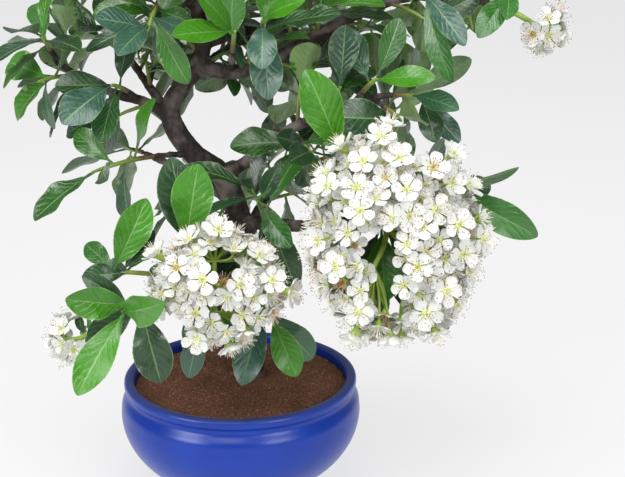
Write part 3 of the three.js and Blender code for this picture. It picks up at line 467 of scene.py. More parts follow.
class ClearanceGrid:
    """Keeps each piece clear of the others, on a coarse grid of cells that each have an owner."""

    CELL = 2
    STEP = 1.25
    OVER_POT = 3

    def __init__(self) -> None:
        """Starts with every cell free."""
        self.owners: dict[tuple[int, ...], str] = {}

    def cells(self, points: Iterable[Vec]) -> list[Face]:
        """Returns the cell of each place, each cell once, in order."""
        found = np.floor(np.array(list(points)).reshape(-1, 3) / self.CELL).astype(int)
        return list(dict.fromkeys(map(tuple, found.tolist())))

    def mark(self, points: Iterable[Vec], owner: str) -> None:
        """Gives the cells of these places to an owner, where they have none."""
        for key in self.cells(points):
            self.owners.setdefault(key, owner)

    def is_clear(self, points: Iterable[Vec], is_own: Callable[[str], bool], margin: int = 1) -> bool:
        """Tests that nothing but what is_own allows is in these places' cells or in a margin of cells."""
        near = range(-margin, margin + 1)
        around = {(x + i, y + j, z + k) for x, y, z in self.cells(points)
                  for i in near for j in near for k in near}
        return all(key not in self.owners or is_own(self.owners[key]) for key in around)

    def is_over_pot(self, points: Vec) -> bool:
        """Tests that these places stay above the pot and its soil."""
        near = np.hypot(points[:, 0], points[:, 1]) < POT.belly_radius + self.OVER_POT
        return bool(np.all(points[:, 2] > np.where(near, POT.height, 0) + self.OVER_POT))


class Shoot:
    """The arched line from the wood to the tip of a shoot or to the fork of a head."""

    GAP = 0.3
    LIFT = 0.1

    def __init__(self, start: Point, end: Point, woody: float) -> None:
        """Arches the line upwards a little; a share woody of it is bark."""
        self.start = vec(start)
        self.end = vec(end)
        self.length = length_of(self.start - self.end)
        self.middle = self.start + (self.end - self.start) * 0.5 + UP * (self.LIFT * self.length)
        self.woody = woody
        self.green_start = woody + self.GAP / self.length

    def at(self, share: float) -> Vec:
        """Returns the place at a share of the line."""
        return arched(self.start, self.middle, self.end, share)

    def line(self, start: float, end: float, radii: Sequence[float]) -> Line:
        """Returns the stretch between two shares, with as many places as radii."""
        steps = len(radii) - 1
        return Line([self.at(mix(start, end, i / steps)) for i in range(steps + 1)], list(radii))

    def spur(self) -> Line:
        """Returns the short woody foot of the shoot."""
        return self.line(0, self.woody, (1.15, 0.9))

    def green(self, root: float, tip: float, steps: int = 2) -> Line:
        """Returns the green stretch, which tapers from root to tip."""
        return self.line(self.green_start, 1, [mix(root, tip, i / steps) for i in range(steps + 1)])


def blade_share(t: Vec) -> Vec:
    """Returns how wide a blade is at a share t of its length, from the petiole to its round tip."""
    u = np.maximum(0, (t - 0.12) / (1 - 0.12))
    return np.power(np.maximum(0, np.sin(pi * np.power(u, 1.35))), 0.62)


@dataclass
class Leaf:
    """One leaf from base to tip, arched along its rib and folded up a little on both sides of it."""

    base: Vec
    tip: Vec
    width: float
    face: Vec
    arch: float
    fold: float
    large: bool
    tone: Pair = (0.5, 0.0)
    petiole_half_width: float = 0.45
    huddle: float = 6

    def __post_init__(self) -> None:
        """Works out the leaf's own directions."""
        self.length = length_of(self.base - self.tip)
        along = unit(self.tip - self.base)
        self.normal = unit(self.face - along * float(self.face @ along))
        self.side = cross(along, self.normal)
        self.middle = self.base + (self.tip - self.base) * 0.5 + self.normal * (self.arch * self.length)

    def half_width(self, t: Vec) -> Vec:
        """Returns half the blade's width at shares t of its length."""
        return np.maximum(blade_share(t) * (self.width / 2), self.petiole_half_width * (1 - t))

    def rib(self, t: Vec) -> Vec:
        """Returns the places of the leaf's rib at shares t of its length."""
        near, bend, far = (1 - t) * (1 - t), 2 * t * (1 - t), t * t
        return self.base * near[:, None] + self.middle * bend[:, None] + self.tip * far[:, None]

    def points(self, t: Vec, v: Vec) -> Vec:
        """Returns the places at shares t of the length and v of the half width, from -1 to 1."""
        reach = self.half_width(t)
        fold = np.abs(v) * reach * self.fold
        return self.rib(t) + self.side * (v * reach)[:, None] + self.normal * fold[:, None]

    def samples(self) -> Vec:
        """Returns places all over the leaf, one row after another."""
        rows = ceil(self.length / ClearanceGrid.STEP)
        pairs = []
        for i in range(2, rows + 1):
            share = float(blade_share(np.array([i / rows]))[0])
            columns = ceil(share * (self.width / 2) / ClearanceGrid.STEP)
            pairs += [(i / rows, k / columns if columns else 0) for k in range(-columns, columns + 1)]
        t, v = np.array(pairs).T
        return self.points(t, v)


def turned_tip(base: Vec, tip: Vec, axis: Vec, turn: Pair) -> Vec:
    """Turns a leaf's tip about its base, first round an axis and then away from it."""
    reach = turned(tip - base, axis, radians(turn[0]))
    hinge = unit(cross(reach, axis))
    return base + turned(reach, hinge, radians(turn[1]))


@dataclass
class Flower:
    """One flower: its centre, the way that it faces, its turn, and the hub that bears its stalk."""

    centre: Vec
    facing: Vec
    spin: float
    hub: Vec
    size: float = 1.0
    age: float = 0.2
    lift: float = 0.0
    spent: bool = False
    radius: float = 4.6
    cup: float = 1

    def __post_init__(self) -> None:
        """Works out the flower's own directions."""
        self.across = turned(unit(cross(UP, self.facing)), self.facing, self.spin)
        self.other = cross(self.facing, self.across)

    def at(self, radius: float, angle: float, height: float) -> Vec:
        """Returns a place by its distance from the middle, its direction and its height."""
        return (self.centre + self.across * (cos(angle) * radius)
                + self.other * (sin(angle) * radius) + self.facing * height)

    def samples(self) -> list[Vec]:
        """Returns places over the open flower."""
        found = [self.centre]
        for share in (0.33, 0.66, 1):
            steps = ceil((TURN * self.radius * share) / ClearanceGrid.STEP)
            for k in range(steps):
                found.append(self.at(self.radius * share, k / steps * TURN, self.cup * share))
        return found


# Meshes


def linked(name: str, data: bpy.types.ID) -> Piece:
    """Makes an object and links it to the scene."""
    made = bpy.data.objects.new(name, data)
    bpy.context.scene.collection.objects.link(made)
    return made


def note(mesh: bpy.types.Mesh, label: str, domain: str, values: Vec) -> None:
    """Gives a mesh a number or a vector for each of its places or faces."""
    kind, key = ("FLOAT_VECTOR", "vector") if values.ndim > 1 else ("FLOAT", "value")
    layer = mesh.attributes.new(label, kind, domain)
    layer.data.foreach_set(key, values.astype(np.float32).ravel())


def seeds(name: str, points: Vec, edges: Sequence[tuple[int, int]], values: dict[str, Vec]) -> Piece:
    """Makes an object of bare places and edges, for a geometry tree to start from.

    Args:
        name: The object's name.
        points: Its places in millimetres.
        edges: The pairs of places that are joined.
        values: A number or a vector for each place, by name.

    Returns:
        The object.
    """
    mesh = bpy.data.meshes.new(name)
    mesh.from_pydata(points * MM, edges, [])
    for label, value in values.items():
        note(mesh, label, "POINT", value)
    return linked(name, mesh)


@dataclass
class Skin:
    """Gathers points in millimetres and faces, and turns them into one mesh in metres."""

    shells: list[tuple[Vec, ...]] = field(default_factory=list)
    faces: list[Face] = field(default_factory=list)
    count: int = 0

    def add(self, points: Vec, faces: Sequence[Face], uvs: Vec | None = None,
            look: Point = (0, 0, 0), under: Vec | None = None, finish: int = 0) -> None:
        """Adds one closed shell.

        Args:
            points: Its places in millimetres.
            faces: The places that each face joins, counted from 0 in this shell.
            uvs: A pair of pattern coordinates for each place.
            look: Three numbers for its material.
            under: For each face, 1 where it is the underside.
            finish: The number of its material.
        """
        size = len(points)
        self.shells.append((
            points, np.zeros((size, 2)) if uvs is None else uvs, np.tile(vec(look), (size, 1)),
            np.zeros(len(faces)) if under is None else under, np.full(len(faces), finish, np.int32)))
        self.faces += [tuple(i + self.count for i in face) for face in faces]
        self.count += size

    def make(self, name: str, materials: Sequence[Material] = (), crease: float = 60) -> Piece:
        """Makes the mesh object.

        Args:
            name: The piece's name.
            materials: The materials that the finish numbers name.
            crease: The angle in degrees past which an edge stays sharp.

        Returns:
            The new object.
        """
        points, uvs, looks, under, finishes = (np.concatenate(kind) for kind in zip(*self.shells))
        mesh = bpy.data.meshes.new(name)
        mesh.from_pydata(points * MM, [], self.faces)
        corners = np.empty(len(mesh.loops), np.int32)
        mesh.loops.foreach_get("vertex_index", corners)
        layer = mesh.uv_layers.new(name="surface")
        layer.data.foreach_set("uv", uvs[corners].astype(np.float32).ravel())
        note(mesh, "look", "POINT", looks)
        note(mesh, "under", "FACE", under)
        for material in materials:
            mesh.materials.append(material)
        mesh.polygons.foreach_set("material_index", finishes)
        return creased(linked(name, mesh), crease)


def creased(piece: Piece, angle: float) -> Piece:
    """Smooths a piece's shading, apart from edges that are sharper than an angle in degrees."""
    piece.data.shade_smooth()
    piece.data.set_sharp_from_angle(angle=radians(angle))
    return piece


def blade_shell(ends: Vec, upper: list[Vec], lower: list[Vec],
                marks: list[Vec]) -> tuple[Vec, Vec, list[Face], Vec]:
    """Closes a thin blade between its upper and its lower side.

    Args:
        ends: The places of its base and its tip.
        upper: The places of each upper column, from one margin to the other.
        lower: The same for the underside, whose margins aren't used.
        marks: The pattern coordinates of each column.

    Returns:
        The places, their pattern coordinates, the faces, and 1 for each face of the underside.
    """
    rows, columns = len(upper[0]), len(upper) - 1
    places, patterns = (
        np.concatenate((np.array(first), np.array(second)[1:columns])).transpose(1, 0, 2).reshape(-1, size)
        for first, second, size in ((upper, lower, 3), (marks, marks, 2)))
    faces: list[Face] = []
    under = []
    for below in (0, 1):
        at = 2 + 2 * columns * np.arange(rows)[:, None] + np.arange(columns + 1)
        at[:, 1:-1] += columns * below
        for c in range(columns):
            strip = [(0, at[0, c + 1], at[0, c])]
            strip += [(at[r, c], at[r, c + 1], at[r + 1, c + 1], at[r + 1, c]) for r in range(rows - 1)]
            strip.append((at[-1, c], at[-1, c + 1], 1))
            faces += [tuple(map(int, face[::-1] if below else face)) for face in strip]
            under += [float(below)] * len(strip)
    end_marks = np.array(((0.5, 0), (0.5, 1)))
    return np.concatenate((ends, places)), np.concatenate((end_marks, patterns)), faces, np.array(under)


def ring_faces(rings: int, sides: int, first: int = 0) -> list[Face]:
    """Returns the faces between rings of places that follow each other, counted from first."""
    return [(low, low + after - k, low + sides + after - k, low + sides)
            for r in range(rings - 1) for k in range(sides)
            for low, after in ((first + r * sides + k, (k + 1) % sides),)]


def add_tube(skin: Skin, line: Line, sides: int, finish: int = 0, shape: Swell | None = None) -> None:
    """Adds a closed tube along a line to a skin.

    Args:
        skin: The skin that gets the tube.
        line: The line and its radii.
        sides: How many places each ring has.
        finish: The number of its material.
        shape: Scales the radius by the angle round the ring and the ring's centre.
    """
    points = line.points
    across = np.array((1.0, 0, 0))
    if abs(unit(points[1] - points[0])[0]) > 0.9:
        across = np.array((0, 1.0, 0))
    rings = []
    for i, centre in enumerate(points):
        along = unit(points[min(len(points) - 1, i + 1)] - points[max(0, i - 1)])
        across = unit(across - along * float(across @ along))
        other = cross(along, across)
        for k in range(sides):
            angle = k / sides * TURN
            reach = line.radii[i] * (shape(angle, centre) if shape else 1)
            rings.append(centre + across * (cos(angle) * reach) + other * (sin(angle) * reach))
    count = len(points)
    faces = ring_faces(count, sides)
    faces += [tuple(reversed(range(sides))), tuple((count - 1) * sides + k for k in range(sides))]
    share = np.repeat(np.linspace(0, 1, count), sides)
    round_share = np.tile(np.arange(sides) / sides, count)
    skin.add(np.array(rings), faces, np.stack((round_share, share), 1), finish=finish)


def lathe(profile: Sequence[Pair], sides: int) -> tuple[Vec, list[Face]]:
    """Turns a profile of (radius, height) pairs that starts and ends on the axis about it.

    Args:
        profile: The pairs, anticlockwise seen with the axis on the left.
        sides: How many steps a turn has.

    Returns:
        The places and the faces.
    """
    inner = profile[1:-1]
    angles = np.arange(sides) / sides * TURN
    rings = [np.stack((r * np.cos(angles), r * np.sin(angles), np.full(sides, z)), 1) for r, z in inner]
    ends = np.array([(0, 0, profile[0][1]), (0, 0, profile[-1][1])])
    faces = ring_faces(len(inner), sides, 2)
    top = 2 + (len(inner) - 1) * sides
    for k in range(sides):
        after = (k + 1) % sides
        faces += [(0, 2 + after, 2 + k), (top + k, top + after, 1)]
    return np.concatenate([ends, *rings]), faces


def reshape(piece: Piece, kind: str, inputs: Settings | None = None, **settings: object) -> None:
    """Runs one modifier on a piece and keeps the plain mesh that it makes.

    Args:
        piece: The piece.
        kind: Blender's name of the modifier.
        inputs: The value of each named input of its geometry tree, if it has one.
        **settings: The modifier's own properties.
    """
    modifier = piece.modifiers.new(kind, kind)
    for name, value in settings.items():
        setattr(modifier, name, value)
    if inputs:
        for item in modifier.node_group.interface.items_tree:
            if item.in_out == "INPUT" and item.name in inputs:
                modifier[item.identifier] = inputs[item.name]
    graph = bpy.context.evaluated_depsgraph_get()
    mesh = bpy.data.meshes.new_from_object(
        piece.evaluated_get(graph), preserve_all_data_layers=True, depsgraph=graph)
    piece.modifiers.clear()
    piece.data = mesh


def combine(piece: Piece, other: Piece, operation: str) -> None:
    """Joins another closed mesh to a piece, or cuts it out, and removes the other."""
    reshape(piece, "BOOLEAN", operation=operation, solver="EXACT", object=other)
    bpy.data.objects.remove(other)


# Node trees


def add_node(tree: Tree, kind: str, inputs: dict | None = None, **settings: object) -> Node:
    """Adds a node with its settings and links.

    Args:
        tree: The tree that gets the node.
        kind: Blender's name of the node.
        inputs: What feeds each input, by its name or number: a value, a hex colour, a socket, or a node,
            which stands for its first output.
        **settings: The node's own properties.

    Returns:
        The new node.
    """
    node = tree.nodes.new(kind)
    for name, value in settings.items():
        setattr(node, name, value)
    for key, value in (inputs or {}).items():
        named = [socket for socket in node.inputs if socket.enabled and socket.name == key]
        target = named[0] if named else node.inputs[key]
        if isinstance(value, Node):
            value = next(socket for socket in value.outputs if socket.enabled)
        if isinstance(value, Socket):
            tree.links.new(value, target)
        else:
            target.default_value = linear(value) if str(value).startswith("#") else value
    return node


def new_growth(name: str, inputs: dict[str, str]) -> tuple[NodeMaker, bpy.types.bpy_prop_collection]:
    """Starts a geometry tree with named inputs, and a material besides.

    Args:
        name: The tree's name.
        inputs: The kind of each input, by its name.

    Returns:
        What adds a node to the tree, and the tree's inputs by their names.
    """
    tree = bpy.data.node_groups.new(name, "GeometryNodeTree")
    tree.interface.new_socket("Geometry", in_out="OUTPUT", socket_type="NodeSocketGeometry")
    for label, kind in {"Geometry": "Geometry", **inputs, "Material": "Material"}.items():
        tree.interface.new_socket(label, in_out="INPUT", socket_type="NodeSocket" + kind)
    return partial(add_node, tree), add_node(tree, "NodeGroupInput").outputs


def end_growth(made: Node, material: Socket) -> Tree:
    """Ends a geometry tree: what it made is smooth, realised and in its material.

    Args:
        made: The node that made the geometry.
        material: The tree's input for its material.

    Returns:
        The tree.
    """
    node = partial(add_node, made.id_data)
    smooth = node("GeometryNodeSetShadeSmooth", {"Geometry": made, "Shade Smooth": True})
    real = node("GeometryNodeRealizeInstances", {"Geometry": smooth})
    node("NodeGroupOutput", {0: node("GeometryNodeSetMaterial", {"Geometry": real, "Material": material})})
    return made.id_data


def note_pick(node: NodeMaker, placed: Node, seed: object) -> Node:
    """Notes a random number on each placed part, by which its material varies."""
    pick = node(RANDOM, {"Seed": seed}, **NUMBER)
    return node(NOTED, {"Geometry": placed, "Name": "pick", "Value": pick}, **NUMBER, domain="INSTANCE")


def grow(name: str, seedling: Piece, tree: Tree, settings: Settings) -> Piece:
    """Runs a geometry tree on an object.

    Args:
        name: The name of the piece that comes out.
        seedling: The object that the tree starts from. It is removed.
        tree: The geometry tree.
        settings: The value of each named input.

    Returns:
        The result as a plain mesh object at the origin.
    """
    reshape(seedling, "NODES", settings, node_group=tree)
    seedling.data.name = name
    seedling.name = name
    return seedling


def rods_growth() -> Tree:
    """Builds the tree that turns rows of edges with a girth at each place into tapered rods."""
    node, given = new_growth("tapered rods", {"Sides": "Int"})
    girth = node(NAMED, {"Name": "girth"}, **NUMBER)
    line = node("GeometryNodeMeshToCurve", {"Mesh": given["Geometry"]})
    ring = node("GeometryNodeCurvePrimitiveCircle", {"Resolution": given["Sides"], "Radius": 1.0},
                mode="RADIUS")
    rod = node("GeometryNodeCurveToMesh", {
        "Curve": line, "Profile Curve": ring, "Scale": girth, "Fill Caps": True})
    return end_growth(rod, given["Material"])


def rounds_growth() -> Tree:
    """Builds the tree that sets a round of like parts, such as petals, about each flower's centre.

    Two rounds with one seed and one count lie exactly on each other.
    """
    node, given = new_growth("rounds of flower parts", {
        "Part": "Object", "Count": "Int", "Lean Spread": "Float", "Turn Spread": "Float",
        "Size Spread": "Float", "Seed": "Int"})
    copies = node("GeometryNodeDuplicateElements", {
        "Geometry": given["Geometry"], "Amount": given["Count"]}, domain="POINT")
    facing, across, size, lift = (node(NAMED, {"Name": name}, **kind) for name, kind in (
        ("facing", VECTOR), ("across", VECTOR), ("size", NUMBER), ("lift", NUMBER)))
    draws = []
    for number, spread in enumerate(("Turn Spread", "Lean Spread", "Size Spread")):
        seed = node(MATH, {0: given["Seed"], 1: float(number)}, operation="ADD")
        low = node(MATH, {0: given[spread], 1: -1.0}, **TIMES)
        draws.append(node(RANDOM, {"Min": low, "Max": given[spread], "Seed": seed}, **NUMBER))
    step = node(MATH, {0: TURN, 1: given["Count"]}, operation="DIVIDE")
    turn = node(MATH, {0: copies.outputs["Duplicate Index"], 1: step, 2: draws[0]}, **TIMES_PLUS)
    lean = node(MATH, {0: draws[1], 1: lift}, operation="SUBTRACT")
    way = node("FunctionNodeAxesToRotation", {0: facing, 1: across}, primary_axis="Z", secondary_axis="X")
    for axis, angle in (((0, 0, 1), turn), ((0, 1, 0), lean)):
        by = node("FunctionNodeAxisAngleToRotation", {"Axis": axis, "Angle": angle})
        way = node("FunctionNodeRotateRotation", {0: way, 1: by}, rotation_space="LOCAL")
    scale = node(MATH, {0: size, 1: draws[2]}, operation="ADD")
    part = node("GeometryNodeObjectInfo", {"Object": given["Part"]}).outputs["Geometry"]
    placed = node(PLACED, {"Points": copies, "Instance": part, "Rotation": way, "Scale": scale})
    return end_growth(note_pick(node, placed, given["Seed"]), given["Material"])


def crumbs_growth() -> Tree:
    """Builds the tree that strews lumpy crumbs of many sizes over the top of the soil."""
    node, given = new_growth("strewn crumbs", {
        "Density": "Float", "Level": "Float", "Smallest": "Float", "Largest": "Float", "Seed": "Int"})
    height = node(SPLIT, {0: node("GeometryNodeInputPosition")}).outputs["Z"]
    on_top = node(MATH, {0: height, 1: given["Level"]}, operation="GREATER_THAN")
    spots = node("GeometryNodeDistributePointsOnFaces", {
        "Mesh": given["Geometry"], "Selection": on_top, "Density": given["Density"], "Seed": given["Seed"]},
        distribute_method="RANDOM")
    way, shape = (
        node(RANDOM, {"Min": low, "Max": high, "Seed": given["Seed"]}, **VECTOR)
        for low, high in (((0, 0, 0), (6.3, 6.3, 6.3)), ((0.65, 0.65, 0.65), (1.1, 1.1, 1.1))))
    draw = node(RANDOM, {"Seed": given["Seed"]}, **NUMBER)
    small = node(MATH, {0: draw, 1: 2.5}, operation="POWER")
    size = node(RANGE, {0: small, 3: given["Smallest"], 4: given["Largest"]})
    placed = node(PLACED, {
        "Points": spots, "Instance": node("GeometryNodeMeshIcoSphere", {"Radius": MM / 2, "Subdivisions": 1}),
        "Rotation": node("FunctionNodeEulerToRotation", {0: way}),
        "Scale": node("ShaderNodeVectorMath", {0: shape, "Scale": size}, operation="SCALE")})
    both = node("GeometryNodeJoinGeometry", {0: given["Geometry"]})
    both.id_data.links.new(note_pick(node, placed, 7).outputs[0], both.inputs[0])
    return end_growth(both, given["Material"])


def bark_growth() -> Tree:
    """Builds the tree that raises long furrows and small warts on smooth wood."""
    node, given = new_growth("bark relief", {"Furrow": "Float", "Wart": "Float"})
    place = node("GeometryNodeInputPosition")
    drawn = node("ShaderNodeVectorMath", {0: place, 1: (1, 1, 0.35)}, **TIMES)
    total = 0.0
    for vector, size_mm, detail, depth in ((drawn, 2.6, 3.0, "Furrow"), (place, 1.1, 2.0, "Wart")):
        pattern = node(NOISE, {
            "Vector": vector, "Scale": 1 / (size_mm * MM), "Detail": detail, "Roughness": 0.6})
        level = node(MATH, {0: pattern, 1: -0.5}, operation="ADD")
        total = node(MATH, {0: level, 1: given[depth], 2: total}, **TIMES_PLUS)
    normal = node("GeometryNodeInputNormal")
    offset = node("ShaderNodeVectorMath", {0: normal, "Scale": total}, operation="SCALE")
    moved = node("GeometryNodeSetPosition", {"Geometry": given["Geometry"], "Offset": offset})
    return end_growth(moved, given["Material"])


class Growths:
    """The geometry trees, built once and shared by the pieces."""

    def __init__(self) -> None:
        """Builds the trees."""
        self.rods, self.rounds = rods_growth(), rounds_growth()
        self.crumbs, self.bark = crumbs_growth(), bark_growth()


def rods_piece(name: str, lines: Sequence[Line], sides: int, growths: Growths,
               material: Material) -> Piece:
    """Makes one piece of many tapered rods.

    Args:
        name: The piece's name.
        lines: The rods' lines, in millimetres.
        sides: How many sides each rod has.
        growths: The shared geometry trees.
        material: The rods' material.

    Returns:
        The piece.
    """
    points = np.concatenate([np.array(line.points) for line in lines])
    edges = []
    first = 0
    for line in lines:
        edges += [(first + i, first + i + 1) for i in range(len(line.points) - 1)]
        first += len(line.points)
    girth = np.concatenate([line.radii for line in lines]) * MM
    seedling = seeds(name + "_lines", points, edges, {"girth": girth})
    return grow(name, seedling, growths.rods, {"Sides": sides, "Material": material})


# Finishes


def linear(colour: str) -> tuple[float, float, float, float]:
    """Turns an sRGB hex colour into the linear one that a shader takes."""
    channels = [int(colour[i:i + 2], 16) / 255 for i in (1, 3, 5)]
    curved = [c / 12.92 if c <= 0.04045 else ((c + 0.055) / 1.055) ** 2.4 for c in channels]
    return (*curved, 1.0)


@dataclass(frozen=True)
class Finish:
    """What every finish has: its name, its roughness and how strongly it bends light."""

    name: str = "plain finish"
    roughness: float = 0.5
    ior: float = 1.5

    def material(self) -> Material:
        """Makes the finish's material."""
        made = bpy.data.materials.new(self.name)
        made.use_nodes = True
        made.node_tree.nodes.clear()
        node = partial(add_node, made.node_tree)
        shader = node("ShaderNodeBsdfPrincipled", {
            "Roughness": self.roughness, "IOR": self.ior, **self.dress(node)})
        node("ShaderNodeOutputMaterial", {"Surface": shader})
        return made

    def dress(self, node: NodeMaker) -> Settings:
        """Adds the finish's colours and relief.

        Args:
            node: Adds a node to the material's tree.

        Returns:
            What feeds each of the shader's own inputs.
        """
        raise NotImplementedError


@dataclass(frozen=True)
class CobaltGlaze(Finish):
    """Stoneware dipped in a cobalt glaze and fired: a deep blue glass coat that runs thin on edges."""

    name: str = "cobalt glazed stoneware"
    roughness: float = 0.3
    ior: float = 1.52
    deep: str = "#022888"
    light: str = "#0a40ae"
    thin: str = "#3d4670"
    clay: str = "#a8927a"
    cloud_mm: float = 14
    swell_mm: float = 5
    foot_line_mm: float = 0.9
    lip_start_mm: float = 39.7
    lip_end_mm: float = 41

    def dress(self, node: NodeMaker) -> Settings:
        """Adds clouds of deeper glaze, the thin lip and the bare clay of the foot."""
        place = node(PLACE).outputs["Object"]
        cloud = node(NOISE, {"Vector": place, "Scale": 1 / (self.cloud_mm * MM), "Detail": 2.0})
        height = node(SPLIT, {0: place}).outputs["Z"]
        lip = node(RANGE, {0: height, 1: self.lip_start_mm * MM, 2: self.lip_end_mm * MM, 3: 0.0, 4: 0.7})
        bare = node(MATH, {0: height, 1: self.foot_line_mm * MM}, operation="LESS_THAN")
        colour = self.deep
        for share, tint in ((cloud, self.light), (lip, self.thin), (bare, self.clay)):
            colour = node(MIX, {"Factor": share, "A": colour, "B": tint}, **COLOUR)
        # The glaze swells a little, so that the lights' edges in it are soft and uneven.
        swell = node(NOISE, {"Vector": place, "Scale": 1 / (self.swell_mm * MM), "Detail": 1.0})
        return {"Base Color": colour, "Specular IOR Level": 0.4,
                "Roughness": node(RANGE, {0: bare, 3: self.roughness, 4: 0.9}),
                "Normal": node(BUMP, {"Strength": 0.12, "Distance": 0.3 * MM, "Height": swell})}


@dataclass(frozen=True)
class PottingSoil(Finish):
    """Sieved brown potting soil, just moist: matt crumbs, each a little lighter or darker."""

    name: str = "sieved potting soil"
    roughness: float = 0.95
    dark: str = "#472f23"
    brown: str = "#8a5f4a"
    dry: str = "#b48b72"
    grain_mm: float = 0.7
    patch_mm: float = 9

    def dress(self, node: NodeMaker) -> Settings:
        """Adds a grain in three browns and a tone for each crumb."""
        place = node(PLACE).outputs["Object"]
        crumb = node(READ, attribute_name="pick").outputs["Fac"]
        grain = node(NOISE, {"Vector": place, "Scale": 1 / (self.grain_mm * MM), "Detail": 4.0})
        patch = node(NOISE, {"Vector": place, "Scale": 1 / (self.patch_mm * MM), "Detail": 2.0})
        colour = self.dark
        for level, low, high, most, tint in (
                (grain, 0.3, 0.7, 1.0, self.brown), (crumb, 0.55, 1.0, 0.6, self.dry),
                (patch, 0.4, 0.7, 0.35, self.dark)):
            share = node(RANGE, {0: level, 1: low, 2: high, 4: most})
            colour = node(MIX, {"Factor": share, "A": colour, "B": tint}, **COLOUR)
        return {"Base Color": colour, "Specular IOR Level": 0.2,
                "Normal": node(BUMP, {"Strength": 0.6, "Distance": 0.3 * MM, "Height": grain})}


@dataclass(frozen=True)
class FirethornBark(Finish):
    """Firethorn bark: dark grey-brown and matt, with small pale pores and grey patches that are partly dry
    skin and partly painted highlight.
    """

    name: str = "firethorn bark"
    roughness: float = 0.8
    dark: str = "#181210"
    brown: str = "#43352f"
    # Grey of dry skin, which also serves as painted highlight
    grey: str = "#8d817c"
    pore: str = "#85786e"
    streak_mm: float = 1.6
    patch_mm: float = 7
    pore_mm: float = 2.4

    def dress(self, node: NodeMaker) -> Settings:
        """Adds long streaks, grey patches that are partly painted highlights, pores and their relief."""
        place = node(PLACE).outputs["Object"]
        drawn = node("ShaderNodeMapping", {0: place, "Scale": (1, 1, 0.35)})
        streak = node(NOISE, {
            "Vector": drawn, "Scale": 1 / (self.streak_mm * MM), "Detail": 5.0, "Roughness": 0.65})
        patch = node(NOISE, {"Vector": place, "Scale": 1 / (self.patch_mm * MM), "Detail": 3.0})
        pores = node("ShaderNodeTexVoronoi", {"Vector": place, "Scale": 1 / (self.pore_mm * MM)})
        colour = self.dark
        # The grey patches are partly dry skin and partly painted highlight.
        for level, low, high, most, tint in (
                (streak, 0.35, 0.68, 1.0, self.brown), (patch, 0.48, 0.68, 0.6, self.grey),
                (pores, 0.12, 0.06, 0.5, self.pore)):
            share = node(RANGE, {0: level, 1: low, 2: high, 4: most})
            colour = node(MIX, {"Factor": share, "A": colour, "B": tint}, **COLOUR)
        return {"Base Color": colour,
                "Normal": node(BUMP, {"Strength": 0.7, "Distance": 0.35 * MM, "Height": streak})}


